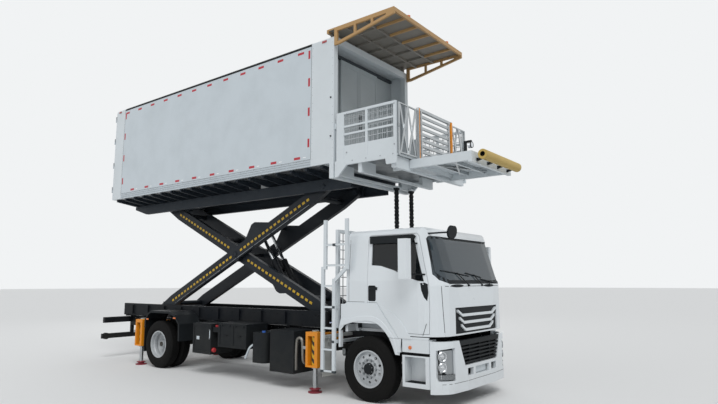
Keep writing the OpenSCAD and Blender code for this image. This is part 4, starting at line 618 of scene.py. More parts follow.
# %% Floor
bm = bmesh.new()
FLOOR_RADIUS = 160
bmesh.ops.create_circle(bm, cap_ends=True, segments=96, radius=FLOOR_RADIUS)
floor_mesh = bpy.data.meshes.new("floor")
bm.to_mesh(floor_mesh)
bm.free()
floor = bpy.data.objects.new("floor", floor_mesh)
bpy.context.scene.collection.objects.link(floor)
floor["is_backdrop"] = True
floor_finish, tree, shader, place = blank("pale_floor")
fill(tree, shader, {"Base Color": linear("#E4E5E5"), "Roughness": 0.85,
                    "Specular IOR Level": 0.15})
floor_mesh.materials.append(floor_finish)

world = bpy.data.worlds.new("studio")
bpy.context.scene.world = world
world.use_nodes = True
tree = world.node_tree
tree.nodes.clear()
path = add(tree, "ShaderNodeLightPath")
seen = add(tree, "ShaderNodeMath", {0: path.outputs["Is Camera Ray"],
                                    1: path.outputs["Is Transmission Ray"]}, operation="MAXIMUM")
seen = add(tree, "ShaderNodeMath", {0: seen.outputs[0], 1: path.outputs["Is Glossy Ray"]},
           operation="MAXIMUM")
soft = add(tree, "ShaderNodeBackground", {"Color": linear("#F4F6F8"), "Strength": 0.5})
backdrop = add(tree, "ShaderNodeBackground", {"Color": linear("#F1F3F4"), "Strength": 1.0})
mixed = add(tree, "ShaderNodeMixShader", {"Fac": seen.outputs[0], 1: soft.outputs[0],
                                          2: backdrop.outputs[0]})
add(tree, "ShaderNodeOutputWorld", {"Surface": mixed.outputs[0]})
print("floor radius:", FLOOR_RADIUS, "m")

# %% [markdown]
# The light in the photograph is hazy sun: soft, high, and from ahead of the truck. One broad
# sun lamp gives the direction, and two large dim areas keep the shaded sides readable.

# %% Lamps
def lamp(kind, name, energy, place, target, **settings):
    data = bpy.data.lights.new(name, kind)
    data.energy = energy
    for key, value in settings.items():
        setattr(data, key, value)
    made = bpy.data.objects.new(name, data)
    bpy.context.scene.collection.objects.link(made)
    made.location = place
    made.rotation_euler = (Vector(target) - Vector(place)).to_track_quat("-Z", "Y").to_euler()


lamp("SUN", "high_sun", 1.55, (9, -8, 16), (0, 0, 2), angle=math.radians(32))
lamp("AREA", "side_fill", 260, (-2, -16, 7), (0, 0, 3), size=12)
lamp("AREA", "rear_fill", 260, (-12, 12, 9), (0, 0, 3), size=12)

camera_data = bpy.data.cameras.new("camera")
camera_data.lens = 27.87
camera_data.sensor_width = 36
camera = bpy.data.objects.new("camera", camera_data)
bpy.context.scene.collection.objects.link(camera)
camera.location = (8.905, -8.71, 1.95)
camera.rotation_euler = (math.radians(98.09), math.radians(0.08), math.radians(37.74))
bpy.context.scene.camera = camera
bpy.context.scene.view_settings.view_transform = "Standard"
print("camera at", [round(v, 3) for v in camera.location])

# %% [markdown]
# Tyres first, because a smooth tyre makes any truck look like a toy. The section is the real
# one: two beads, rounded sidewalls with a rib, square shoulders, and four grooves in the tread.

# %% Tyres
TYRE_R, RIM_R = 525, 286
GROOVES, GROOVE_DEEP, GROOVE_MARGIN = 4, 16, 6
SHOULDER = 38
TYRE_STEPS = 96


def tyre_section(y0, y1):
    """(radius, offset) round the section, from the inner bead over the tread and back."""
    r, b = TYRE_R, RIM_R
    side = [(b + 1.3, 31), (b + 16, 25), (b + 24, 18), (b + 40, 6), (b + 70, 2), (b + 76, -1),
            (b + 84, 2), (r - 130, 0), (r - 95, 2), (r - 60, 6), (r - 34, 14), (r - 16, 24),
            (r - 5, SHOULDER)]
    points = [(p, y0 + q) for p, q in side]
    run, last = y0 + SHOULDER, y1 - SHOULDER
    step = (last - run) / (GROOVES + 1)
    for i in range(GROOVES + 1):
        rib_end = run + (i + 1) * step - GROOVE_MARGIN
        points += [(r, run + i * step + GROOVE_MARGIN), (r, rib_end)]
        if i < GROOVES:
            points += [(r - GROOVE_DEEP, rib_end + 2), (r - GROOVE_DEEP, rib_end + 10)]
    points += [(p, y1 - q) for p, q in reversed(side)]
    points += [(b + 1.3, y1 - 60), (b + 60, y1 - 40), (r - 60, y1 - 40), (r - 40, y1 - 60),
               (r - 40, y0 + 60), (r - 60, y0 + 40), (b + 60, y0 + 40), (b + 1.3, y0 + 60)]
    return points


# wheel, node's name, axle's x, inner and outer side of each tyre
AXLE_TYRES = (("front", "front_tyre", 0, [(942, 1222)]),
              ("rear", "rear_tyres", REAR_AXLE_X, [(972, 1222), (682, 932)]))
for side, hand in SIDES:
    for wheel, node, x, tyres in AXLE_TYRES:
        bm = bmesh.new()
        for y0, y1 in tyres:
            section = [(r, side * y) for r, y in tyre_section(y0, y1)]
            turned(bm, section, (x, 0, HUB_Z), (0, 1, 0), TYRE_STEPS)
        piece(f"{wheel}_tyre_tread_{hand}", bm, f"wheel_{wheel}_{hand}", tyre_rubber,
              stands_for=[f"{node}_{hand}"])

# %% [markdown]
# Many small pieces follow a curved panel of the model. A ray finds the panel, and a decal is a
# flat outline that is cut into narrow strips, dropped onto the panel and given a thickness.

# %% Helpers that follow a surface
def surface(name, u, v, side):
    """Where a ray meets a node: from ahead at y, z, or from one side at x, z."""
    if side == "front":
        start, way = at(3000, u, v), Vector((-1, 0, 0))
    else:
        start, way = at(u, side * 3000, v), Vector((0, -side, 0))
    hit, place, _, _ = nodes[name].ray_cast(start, way)
    return place if hit else None


def decal(bm, outline, name, side, lift, depth, step=60):
    """outline is (u, v) in mm, as in surface(). A corner that misses keeps the last depth."""
    flat = bmesh.new()
    face = flat.faces.new([flat.verts.new((u, v, 0)) for u, v in outline])
    for k, normal in enumerate((Vector((1, 0, 0)), Vector((0, 1, 0)))):
        low, high = min(p[k] for p in outline), max(p[k] for p in outline)
        for i in range(1, int((high - low) / step) + 1):
            bmesh.ops.bisect_plane(flat, geom=flat.verts[:] + flat.edges[:] + flat.faces[:],
                                   plane_co=normal * (low + i * step), plane_no=normal)
    way = Vector((1, 0, 0)) if side == "front" else Vector((0, side, 0))
    last = None
    tops, bottoms = {}, {}
    for vert in flat.verts:
        place = surface(name, vert.co.x, vert.co.y, side) or last
        if place is None:
            continue
        last = place
        if side == "front":
            point = Vector((place.x, vert.co.x / 1000, vert.co.y / 1000))
        else:
            point = Vector((FRONT_AXLE_X + vert.co.x / 1000, place.y, vert.co.y / 1000))
        tops[vert] = bm.verts.new(point + way * lift / 1000)
        bottoms[vert] = bm.verts.new(point - way * (depth - lift) / 1000)
    for face in flat.faces:
        if all(v in tops for v in face.verts):
            bm.faces.new([tops[v] for v in face.verts])
            bm.faces.new([bottoms[v] for v in reversed(face.verts)])
    for edge in flat.edges:
        if edge.is_boundary and all(v in tops for v in edge.verts):
            a, b = edge.verts
            bm.faces.new([tops[a], tops[b], bottoms[b], bottoms[a]])
    flat.free()


def seam(bm, points, width, name, side):
    """A narrow line on a panel, through points."""
    for (u0, v0), (u1, v1) in zip(points, points[1:]):
        run = Vector((u1 - u0, v1 - v0))
        off = Vector((-run.y, run.x)).normalized() * width / 2
        decal(bm, [(u0 + off.x, v0 + off.y), (u1 + off.x, v1 + off.y), (u1 - off.x, v1 - off.y),
                   (u0 - off.x, v0 - off.y)], name, side, 0.6, 2.5)


def tube(bm, points, radius, sides):
    """A round pipe through points, with a mitred ring at each."""
    path = [at(*p) for p in points]
    rings = []
    for i, place in enumerate(path):
        before = (place - path[i - 1]).normalized() if i else (path[1] - place).normalized()
        after = (path[i + 1] - place).normalized() if i + 1 < len(path) else before
        along = (before + after).normalized()
        out = (out - along * out.dot(along) if rings else along.orthogonal()).normalized()
        rings.append([bm.verts.new(place + (out * math.cos(a) + along.cross(out) * math.sin(a))
                                   * radius / 1000)
                      for a in [math.tau * k / sides for k in range(sides)]])
    for one, two in zip(rings, rings[1:]):
        for k in range(sides):
            bm.faces.new([one[k], one[(k + 1) % sides], two[(k + 1) % sides], two[k]])
    bm.faces.new(rings[0])
    bm.faces.new(list(reversed(rings[-1])))


def curve(points, steps=6):
    """A smooth path through points."""
    out = []
    for i in range(len(points) - 1):
        a, b, c, d = (Vector(points[max(0, min(len(points) - 1, i + k))]) for k in (-1, 0, 1, 2))
        for s in range(steps):
            t = s / steps
            place = 2 * b + (c - a) * t + (2 * a - 5 * b + 4 * c - d) * t * t
            out.append(0.5 * (place + (3 * b - a - 3 * c + d) * t ** 3))
    return out + [Vector(points[-1])]


def dome(bm, centre, axis, radius, height):
    """A rivet or bolt head: a short tapered disc with six sides."""
    centre, axis = Vector(centre), Vector(axis)
    bar(bm, centre, centre + axis * height, radius, 6, radius * 0.7)


# %% [markdown]
# Each wheel is held by ten hex nuts on washers, round a hub with its own small bolts. A valve
# stem sticks out beside them.

# %% Wheel nuts
NUTS, NUT_CIRCLE = 10, 140
# axle's x, disc's face, radius of the hub's ring of bolts, hub's outer face, wheel
WHEELS = ((0, 1182, 84, 1222, "front"), (REAR_AXLE_X, 952, 77, 1084, "rear"))
for side, hand in SIDES:
    for x, face, hub_ring, hub_face, wheel in WHEELS:
        bm = bmesh.new()
        for px, pz in oval(NUTS, NUT_CIRCLE, NUT_CIRCLE, x, HUB_Z):
            side_bar(bm, side, px, pz, face - 1, face + 5, 25, 16)
            side_bar(bm, side, px, pz, face, face + 24, 21, 6, 19)
        for px, pz in oval(8, hub_ring, hub_ring, x, HUB_Z, math.radians(20)):
            side_bar(bm, side, px, pz, hub_face - 22, hub_face - 4, 8, 6)
        bar(bm, (x + 236, side * (face + 20), HUB_Z), (x + 214, side * (face + 52), HUB_Z + 12),
            6, 8)
        piece(f"wheel_nuts_{wheel}_{hand}", bm, f"wheel_{wheel}_{hand}", zinc_steel)

# %% [markdown]
# The box wears red reflective tape: marks of about 160 by 50 mm along the top and bottom of each
# side panel and down both ends, with short white dashes between the lower ones.

# %% Reflective tape
red, white = bmesh.new(), bmesh.new()


def mark(bm, side, x, z, long, tall):
    decal(bm, [(x - long / 2, z - tall / 2), (x + long / 2, z - tall / 2),
               (x + long / 2, z + tall / 2), (x - long / 2, z + tall / 2)],
          "side_walls", side, 1.2, 2.4, 400)


def box_marks(side):
    for i in range(12):
        mark(red, side, -7810 + 567 * i, 6325, 160, 48)
    for i in range(10):
        mark(red, side, -7400 + 640 * i, 4252, 160, 48)
        mark(white, side, -7210 + 640 * i, 4248, 70, 16)
    for x in (-7890, -1350):
        for z in (6250, 5700, 5120, 4515):
            mark(red, side, x, z, 48, 165)


both(box_marks)
piece("red_tape_marks", red, "box", red_tape)
piece("white_tape_marks", white, "box", white_tape)

# %% [markdown]
# The panel's edges are sealed with a dark bead and held by rivets, 150 to 200 mm apart. Small
# lamps sit in the upper corners of both end frames, two rubber stops on each front post, and
# dark seals on the rear doors.

# %% Box seams, rivets and lamps
bm, rivets, lamps = bmesh.new(), bmesh.new(), bmesh.new()
BEAD = 0.8


def box_edges(side):
    out = (0, side, 0)
    for x in (-7940, -1290):
        side_block(bm, side, (x - 3, BOX_Y, 4192), (x + 3, BOX_Y + BEAD, 6434))
    side_block(bm, side, (PANEL_BACK, BOX_Y, 4189), (PANEL_FRONT, BOX_Y + BEAD, 4194))
    side_block(bm, side, (PANEL_BACK, BOX_Y, 6400), (PANEL_FRONT, BOX_Y + 2, 6434))
    for z in (4098, 4142):
        side_block(bm, side, (PANEL_BACK, BOX_Y, z), (PANEL_FRONT, BOX_Y + BEAD, z + 3))
    for i in range(44):
        dome(rivets, (-7860 + 150 * i, side * BOX_Y, 6375), out, 7, 2.5)
    for i in range(33):
        dome(rivets, (-7860 + 200 * i, side * BOX_Y, 4178), out, 9, 3)
    for i in range(15):
        for x in (-7975, -1258, -8300, -760):
            dome(rivets, (x, side * BOX_Y, 4180 + 155 * i), out, 6, 2.5)
    for x in (-8240, -1020):
        side_block(lamps, side, (x, BOX_Y - 2, 6385), (x + 110, BOX_Y + 12, 6425), 4)
    for z in (4560, 5290):
        side_bar(bm, side, -800, z, BOX_Y, BOX_Y + 16, 16, 12, 13)


both(box_edges)
piece("box_seals", bm, "box", seal_rubber)
piece("box_rivets", rivets, "box", zinc_steel)
piece("corner_lamps", lamps, "box", red_lens)

bm = bmesh.new()
SEAL_BACK, SEAL_FRONT = -8392, -8386
block(bm, (SEAL_BACK, -6, 4080), (SEAL_FRONT, 6, 6400), 1.5)
for y in (-1180, 1180):
    block(bm, (SEAL_BACK, y - 12, 4080), (SEAL_FRONT, y + 12, 6400), 1.5)
for z in (4082, 6388):
    block(bm, (SEAL_BACK, -1180, z), (SEAL_FRONT, -12, z + 14), 1.5)
piece("rear_door_seal", bm, "rear_door_right", seal_rubber)

# %% [markdown]
# The guards of the platform hold a welded mesh: upright wires about 38 mm apart, and cross
# wires about 96 mm apart.

# %% Platform mesh
bm = bmesh.new()
WIRE_PITCH, HALF_WIRE = 38, 1.5
MESH_LOW, MESH_HIGH = 4332, 4906


def guard_mesh(side):
    y, cross_y = side * 1231, side * 1234
    for x0, x1 in ((-490, -22), (32, 568)):
        count = int((x1 - x0) / WIRE_PITCH)
        for i in range(1, count):
            x = x0 + (x1 - x0) * i / count
            block(bm, (x - HALF_WIRE, y - HALF_WIRE, MESH_LOW),
                  (x + HALF_WIRE, y + HALF_WIRE, MESH_HIGH))
        for i in range(1, 6):
            z = MESH_LOW + (MESH_HIGH - MESH_LOW) * i / 6
            block(bm, (x0, cross_y - HALF_WIRE, z - HALF_WIRE),
                  (x1, cross_y + HALF_WIRE, z + HALF_WIRE))


both(guard_mesh)
piece("guard_wires", bm, "platform", white_powder, smooth=0)

# %% [markdown]
# Two link chains carry the hoses up to the platform. Each link is a pair of rounded side
# plates with two cross bars, and four hoses run between them.

# %% Hose chains
bm = bmesh.new()
LINKS = 36
CHAIN_X, CHAIN_YS = -590, (560, 1115)
CHAIN_LOW, CHAIN_TOP = 1150, 3820
pitch = (CHAIN_TOP - CHAIN_LOW) / LINKS
for y in CHAIN_YS:
    for i in range(LINKS):
        z = CHAIN_LOW + pitch * i
        # Every second link is narrower, so that each fits into the next
        inset = 5 if i % 2 else 0
        for s in (-1, 1):
            y0 = y + s * (44 - inset)
            outline = oval(12, 27, 40, CHAIN_X, z + pitch / 2)
            plate(bm, [(px, y0, pz) for px, pz in outline], (0, s, 0), 6)
            bar(bm, (CHAIN_X, y0 + s * 5, z + 6), (CHAIN_X, y0 + s * 10, z + 6), 9, 8)
        for x in (-612, -572):
            block(bm, (x, y - 42, z + 26), (x + 6, y + 42, z + 46))
    for k in (-24, -6, 12, 27):
        bar(bm, (CHAIN_X, y + k, CHAIN_LOW), (CHAIN_X, y + k, CHAIN_TOP - 1), 8, 8)
for y in CHAIN_YS:
    block(bm, (-634, y - 50, 3780), (-546, y + 50, CHAIN_TOP - 0.5), 3)
for z, y1 in ((1130, 1170), (950, 480)):
    block(bm, (-630, 430, z), (-550, y1, CHAIN_LOW - 0.5), 3)
chains = piece("hose_chain_links", bm, "chassis", link_plastic, stands_for=["hose_chains"])
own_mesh(chains)

# %% [markdown]
# Yellow dashes run along the outer faces of the scissor arms, and a thin pipe is clipped below
# them on the outer pair. The arms slope at 24.9 degrees, and a helper finds the places on them.
# Keeper plates hold the front pins, in the lower frame and in the body's frame.

# %% Scissor arms
ARM_L, RISE, PIN_X = 5930, 2500, -1550
LOW_PIN, HIGH_PIN = 1300, 3800
PIPE_DROP = -112
tilt = math.asin(RISE / ARM_L)
BACK_X = PIN_X - ARM_L * math.cos(tilt)


def on_arm(s, h, rising):
    """x and z of a point s along an arm from its rear end and h above its middle line."""
    turn = tilt if rising else -tilt
    z = LOW_PIN if rising else HIGH_PIN
    return (BACK_X + s * math.cos(turn) - h * math.sin(turn),
            z + s * math.sin(turn) + h * math.cos(turn))


# rising to the front or sinking, outer face, body
for rising, y, body in ((True, 520, "scissor_outer"), (False, 400, "scissor_inner")):
    dashes, pipes, bolts = bmesh.new(), bmesh.new(), bmesh.new()
    for side in (-1, 1):
        for i in range(39):
            s = 460 + 130 * i
            if abs(s - ARM_L / 2) < (120 if rising else 330):
                continue
            corners = [on_arm(s + a, b, rising)
                       for a, b in ((-38, -25), (38, -25), (38, 25), (-38, 25))]
            plate(dashes, [(x, side * (y - 0.5), z) for x, z in corners], (0, side, 0), 1.5)
        if rising:
            path = [on_arm(s, PIPE_DROP, True) for s in (520, 1900, 2600, 3400, 4300, 5400)]
            tube(pipes, [(x, side * (y + 7), z) for x, z in path], 7, 8)
            for s in range(600, 5400, 600):
                x, z = on_arm(s, PIPE_DROP, True)
                side_block(bolts, side, (x - 16, y, z - 16), (x + 16, y + 15, z + 16), 3)
            x, z = on_arm(ARM_L / 2, 0, True)
            side_bar(bolts, side, x, z, y - 1, y + 9, 74, 32, 70)
            for px, pz in oval(6, 55, 55, x, z):
                side_bar(bolts, side, px, pz, y + 8, y + 17, 9, 6)
        for s in (0, ARM_L):
            x, z = on_arm(s, 0, rising)
            side_bar(bolts, side, x, z + 70, y - 1, y + 10, 7, 6)
    piece(f"{body}_dashes", dashes, body, yellow_marking, smooth=0)
    if rising:
        piece(f"{body}_pipe", pipes, body, zinc_steel)
    else:
        pipes.free()
    piece(f"{body}_bolts", bolts, body, arm_enamel)

keepers, tops = bmesh.new(), bmesh.new()
for side in (-1, 1):
    for mesh, z in ((keepers, LOW_PIN), (tops, HIGH_PIN)):
        side_bar(mesh, side, PIN_X, z, 619, 632, 62, 24, 58)
        side_block(mesh, side, (PIN_X - 75, 620, z - 18), (PIN_X + 75, 640, z + 18), 3)
        for x in (-52, 52):
            side_bar(mesh, side, PIN_X + x, z, 639, 650, 11, 6)
    for x in range(-8350, -1500, 350):
        for z in (1115, 1300):
            dome(keepers, (x, side * 620, z), (0, side, 0), 12, 9)
    for x in range(-8200, -1000, 395):
        dome(tops, (x + 60, side * 620, 3890), (0, side, 0), 12, 9)
piece("base_pin_keepers", keepers, "chassis", chassis_enamel)
piece("frame_pin_keepers", tops, "box", underframe_enamel)

# %% [markdown]
# The cab's small parts: the seams between its panels, two oval grilles in the cowl, a black
# frame printed on the windscreen's edge, three wipers, and on each door the dark recess of the
# handle and black trim before the window.

# %% Cab seams and trim
seams = bmesh.new()


def cab_side_seams(side):
    seam(seams, [(1050, 1112), (1120, 1300), (1131, 1500)], 6, "cab_shell", side)
    seam(seams, [(-395, 1600), (-395, 2650)], 6, "cab_shell", side)
    seam(seams, [(-440, 1604), (-60, 1604)], 6, "cab_shell", side)
    seam(seams, [(side * 1015, 1100), (side * 1035, 1500), (side * 1050, 1866)], 7, "cab_shell",
         "front")


both(cab_side_seams)
seam(seams, [(-1050, 1866), (1050, 1866)], 8, "cab_shell", "front")
piece("cab_seams", seams, "cab", seal_rubber)

bm = bmesh.new()
for y in (-671, 470):
    decal(bm, oval(20, 200, 24, y, 1872), "cab_shell", "front", 2.0, 5, 50)
piece("cowl_grilles", bm, "cab", black_moulding)

bm = bmesh.new()
edge = [(-900, 1900), (900, 1900), (1060, 1960), (1120, 2050), (1075, 2620), (1040, 2660),
        (-1040, 2660), (-1075, 2620), (-1120, 2050), (-1060, 1960)]
# The print is 46 mm wide at the sides, 40 mm at the top and 42 or 62 mm at the bottom
CENTRE_V = 2270
for i, corner in enumerate(edge):
    following = edge[(i + 1) % len(edge)]
    band = [(u * 0.994, v + (4 if v < CENTRE_V else -4)) for u, v in (corner, following)]
    for u, v in (following, corner):
        rise = -40 if v >= CENTRE_V else 62 if v < 2000 else 42
        band.append((u - math.copysign(min(abs(u), 46), u), v + rise))
    decal(bm, band, "windscreen", "front", 1.0, 2.5, 70)
piece("windscreen_print", bm, "cab", black_moulding)
for side, hand in SIDES:
    bm = bmesh.new()
    decal(bm, [(1086, 1926), (1138, 1900), (1146, 1760), (1128, 1640), (1080, 1700), (1040, 1800),
               (1020, 1915)], f"cab_door_{hand}", side, 1.5, 4, 30)
    decal(bm, [(16, 1640), (34, 1620), (150, 1620), (170, 1642), (170, 1856), (150, 1876),
               (34, 1876), (16, 1856)], f"cab_door_{hand}", side, 1.5, 4, 300)
    piece(f"door_trim_{hand}", bm, f"cab_door_{hand}", black_moulding)

bm = bmesh.new()


def on_glass(y, z, lift):
    """A point ahead of the windscreen, or of the cab's front below it."""
    hit = surface("windscreen", y, z, "front") or surface("cab_shell", y, z, "front")
    return ((hit.x - FRONT_AXLE_X) * 1000 + lift, y, z)


PIVOT_Z = 1878
# pivot's y, then y and z of the blade's two ends
WIPERS = ((-305, -1000, 2110, -182, 2030), (193, -281, 2080, 250, 2010),
          (473, 200, 1985, 865, 1905))
for pivot, y0, z0, y1, z1 in WIPERS:
    foot = on_glass(pivot, PIVOT_Z, 0)[0]
    x, y, z = on_glass((y0 + y1) / 2, (z0 + z1) / 2, 22)
    bar(bm, (foot - 4, pivot, PIVOT_Z), (foot + 26, pivot, PIVOT_Z), 20, 12, 15)
    tube(bm, [(foot + 18, pivot, PIVOT_Z + 2), (x, y, z)], 8, 8)
    tube(bm, [on_glass(y0 + (y1 - y0) * k / 8, z0 + (z1 - z0) * k / 8, 9) for k in range(9)], 8, 8)
    bar(bm, (x - 14, y, z), (x + 6, y, z), 12, 10)
piece("wipers", bm, "cab", black_moulding)

# %% [markdown]
# A moulded flare sweeps over each front wheel, down to the panel above the step. Two smooth
# curves bound it, and a raised lip follows the lower one. The part that lies over the door
# rides on the door, with a gap of 6 mm to the rest. The foot stays on the chassis while the
# cab tilts, so the flare is also cut at the cab's lower edge.

# %% Wheel flares
FLARE_TOP = [(-565, 1562), (-104, 1575), (241, 1558), (400, 1500), (570, 1392), (700, 1268),
             (800, 1130), (866, 1052)]
FLARE_ARCH = [(-565, 1170), (-464, 1215), (-300, 1262), (-163, 1284), (0, 1296), (127, 1285),
              (240, 1240), (322, 1178), (392, 1110), (441, 1052)]
DOOR_EDGE = [(199, 1593), (558, 1131)]
FLARE_FOOT = [(443, 1048), (480, 985), (525, 890), (563, 798)]


def rounded(points):
    return [(p.x, p.z) for p in curve([(u, 0, v) for u, v in points], 5)]


def flare_plate(bm, outline, side, low, high, edge):
    plate(bm, [(x, side * low, z) for x, z in outline], (0, side, 0), high - low, edge)


def cut_at_door(bm, keep):
    """Keeps the part behind the door's edge, or the part on the door, 3 mm from the edge."""
    on_door = keep == "door"
    (x0, z0), (x1, z1) = DOOR_EDGE
    ahead = Vector((z0 - z1, 0, x1 - x0)).normalized()
    gap = 0.003 if on_door else -0.003
    bmesh.ops.bisect_plane(bm, geom=bm.verts[:] + bm.edges[:] + bm.faces[:],
                           plane_co=at(x0, 0, z0) + ahead * gap, plane_no=ahead,
                           clear_outer=not on_door, clear_inner=on_door)
    bmesh.ops.holes_fill(bm, edges=[edge for edge in bm.edges if edge.is_boundary])


arch, foot = rounded(FLARE_ARCH), rounded(FLARE_FOOT)
sweep = rounded(FLARE_TOP) + arch[::-1]
lip = [(x + (31.5 if x > 0 else 0), z + 84) for x, z in arch if z > 1100]
# Inner and outer face of the flare's panel and of its raised lip
PANEL_FACES, LIP_FACES = (1219, 1231), (1229, 1252)
for side, hand in SIDES:
    bm = bmesh.new()
    flare_plate(bm, sweep, side, *PANEL_FACES, 4)
    cut_at_door(bm, "door")
    piece(f"door_flare_{hand}", bm, f"cab_door_{hand}", cab_enamel, smooth=18)
    bm = bmesh.new()
    flare_plate(bm, sweep, side, *PANEL_FACES, 4)
    cut_at_door(bm, "cab")
    flare_plate(bm, arch + [(540, 1052)] + lip[::-1], side, *LIP_FACES, 8)
    piece(f"wheel_flare_{hand}", bm, "cab", cab_enamel, smooth=18)
    bm = bmesh.new()
    flare_plate(bm, foot + [(629, 794), (652, 940), (664, 1048)], side, *PANEL_FACES, 3)
    flare_plate(bm, foot + [(612, 798), (585, 900), (560, 985), (543, 1048)], side, *LIP_FACES, 8)
    piece(f"flare_foot_{hand}", bm, "chassis", cab_enamel, smooth=18)

# %% [markdown]
# The bumper's lamps have bright rings round each reflector, and the plate is blank. A thin seam
# runs across the bumper. At the rear are round red lamps, amber markers and bolts, and two more
# amber markers sit on each side.

# %% Lamps and plate
rings, plates, groove = bmesh.new(), bmesh.new(), bmesh.new()
for side in (-1, 1):
    way = Vector((math.cos(math.radians(38)), side * math.sin(math.radians(38)), 0))
    for z, r in HEADLAMPS:
        centre = Vector((1289, side * 1070, z)) + way * 36
        turned(rings, [(r + 1, -8), (r + 6, 2), (r - 2, 7), (r - 12, 1), (r - 14, -2)], centre,
               way, 40)
        turned(rings, [(1, 1), (r * 0.45, 3), (r * 0.5, 9), (r * 0.42, 16), (r * 0.2, 20), (1, 21)],
               centre, way, 32)
block(plates, (1395, -225, 475), (1399, 225, 580), 1.5)
for y in (-170, 170):
    bar(plates, (1398, y, 528), (1402, y, 528), 7, 8)
for i in range(22):
    u0, u1 = -1100 + 100 * i, -1000 + 100 * i
    decal(groove, [(u0, 398), (u1, 398), (u1, 404), (u0, 404)], "bumper", "front", 0.6, 2.5, 50)
piece("lamp_rings", rings, "chassis", lamp_reflector)
piece("blank_plate", plates, "chassis", white_powder)
piece("bumper_seam", groove, "chassis", seal_rubber)

bm, amber, bolts = bmesh.new(), bmesh.new(), bmesh.new()
REAR_BAR_X = -8550
for side in (-1, 1):
    for r, reach in ((66, 4), (30, 8)):
        turned(bm, [(0.5, 0), (r, 0), (r, reach * 0.5), (r * 0.8, reach), (0.5, reach + 2)],
               (REAR_BAR_X, side * 1120, 560), (-1, 0, 0), 32)
    side_block(amber, side, (REAR_BAR_X - 10, 560, 915), (REAR_BAR_X, 900, 985), 4)
    for z in (518, 602):
        for y in (430, 800, 1180):
            dome(bolts, (REAR_BAR_X, side * y, z), (-1, 0, 0), 11, 8)
    for x, z in ((-5420, 1120), (-6480, 1060)):
        side_block(amber, side, (x, 1234, z), (x + 90, 1246, z + 30), 4)
block(bolts, (REAR_BAR_X - 6, -230, 660), (REAR_BAR_X - 2, 230, 780), 2)
piece("tail_lamps", bm, "chassis", red_lens)
piece("marker_lamps", amber, "chassis", amber_lens)
piece("rear_bolts", bolts, "chassis", zinc_steel)

# %% [markdown]
# Beside the chassis: a bright U pipe by the silencer, a level glass, a blank label and a red
# valve knob at the hydraulic tank, latches and handles on the battery box, a white pipe behind
# the urea tank, clamps on the stabilisers, and bolts along the side rails.

# %% Chassis fittings
pipe, fit, knob, sight, latches = (bmesh.new() for k in range(5))
tube(pipe, curve([(-1690, -1150, 350), (-1672, -1165, 600), (-1650, -1170, 860),
                  (-1600, -1172, 922), (-1545, -1172, 915), (-1510, -1168, 840),
                  (-1500, -1160, 545), (-1500, -1100, 480)]), 29, 16)
for z in (760, 840):
    turned(pipe, [(61, -9), (66, -9), (66, 9), (61, 9)], (-1420, -950, z), (0, 0, 1), 32)
for x in LEG_XS:
    for side in (-1, 1):
        side_block(fit, side, (x - 152, 1095, 640), (x - 139, 1215, 730), 3)
        for y in (1115, 1195):
            bar(fit, (x - 151, side * y, 685), (x - 164, side * y, 685), 11, 6)
        turned(fit, [(43, 0), (64, 0), (64, 14), (50, 20), (43, 20)], (x, side * LEG_Y, 1060),
               (0, 0, 1), 24)
        turned(fit, [(43.5, 0), (67, 0), (67, -12), (43.5, -12)], (x, side * LEG_Y, 430),
               (0, 0, 1), 24)
        side_block(fit, side, (x - 280, 1130, 735), (x - 145, 1190, 790), 5)
block(sight, (-4141, -1222, 770), (-4119, -1206, 930), 4)
block(sight, (-4570, -1218, 725), (-4480, -1206, 795), 3)
tube(sight, curve([(-3030, -1190, 450), (-2990, -1190, 520), (-2904, -1190, 663),
                   (-2870, -1120, 720)]), 20, 12)
for z in (762, 938):
    bar(fit, (-4130, -1206, z), (-4130, -1226, z), 14, 6)
bar(fit, (-4190, -1150, 530), (-4085, -1150, 530), 38, 20)
turned(knob, [(0.5, 0), (40, 0), (46, 6), (46, 44), (38, 55), (0.5, 57)], (-4086, -1150, 530),
       (1, 0, 0), 24, closed=False)
for x in (-3800, -3380):
    for k in (60, 300):
        block(latches, (x + k - 16, -1222, 1030), (x + k + 16, -1206, 1072), 4)
    bar(latches, (x + 130, -1218, 860), (x + 230, -1218, 860), 8, 8)
for side in (-1, 1):
    for i in range(36):
        x = -8300 + 200 * i
        if min(abs(x - leg_x) for leg_x in LEG_XS) < 110:
            continue
        for z in (850, 1000):
            dome(fit, (x, side * 430, z), (0, side, 0), 11, 8)
piece("bright_pipes", pipe, "chassis", exhaust_steel)
piece("chassis_fittings", fit, "chassis", zinc_steel)
piece("valve_knob", knob, "chassis", red_cap)
piece("sight_glasses", sight, "chassis", panel_gelcoat)
piece("box_latches", latches, "chassis", black_moulding)

# %% [markdown]
# Below each cab door a white sill closes the gap above the step box, and the step's floor has
# dark ribs that give a boot some hold.

# %% Steps
sills, ribs = bmesh.new(), bmesh.new()


def step_trim(side):
    side_block(sills, side, (668, 1172, 1049), (1146, 1219, 1087), 6)
    for i in range(12):
        side_block(ribs, side, (730 + 31 * i, 1040, 400), (744 + 31 * i, 1205, 405), 1.5)


both(step_trim)
piece("step_sills", sills, "chassis", cab_enamel)
piece("step_ribs", ribs, "chassis", black_moulding)

# %% [markdown]
# Under the chassis, U bolts clamp the springs to both axles, and a brake chamber works each
# wheel. The undersides are a guess, because the photograph doesn't show them.

# %% Axle fittings
bm = bmesh.new()
CHAMBER = [(1, 0), (70, 0), (78, 14), (78, 44), (84, 50), (84, 62), (78, 68), (74, 104), (1, 110)]
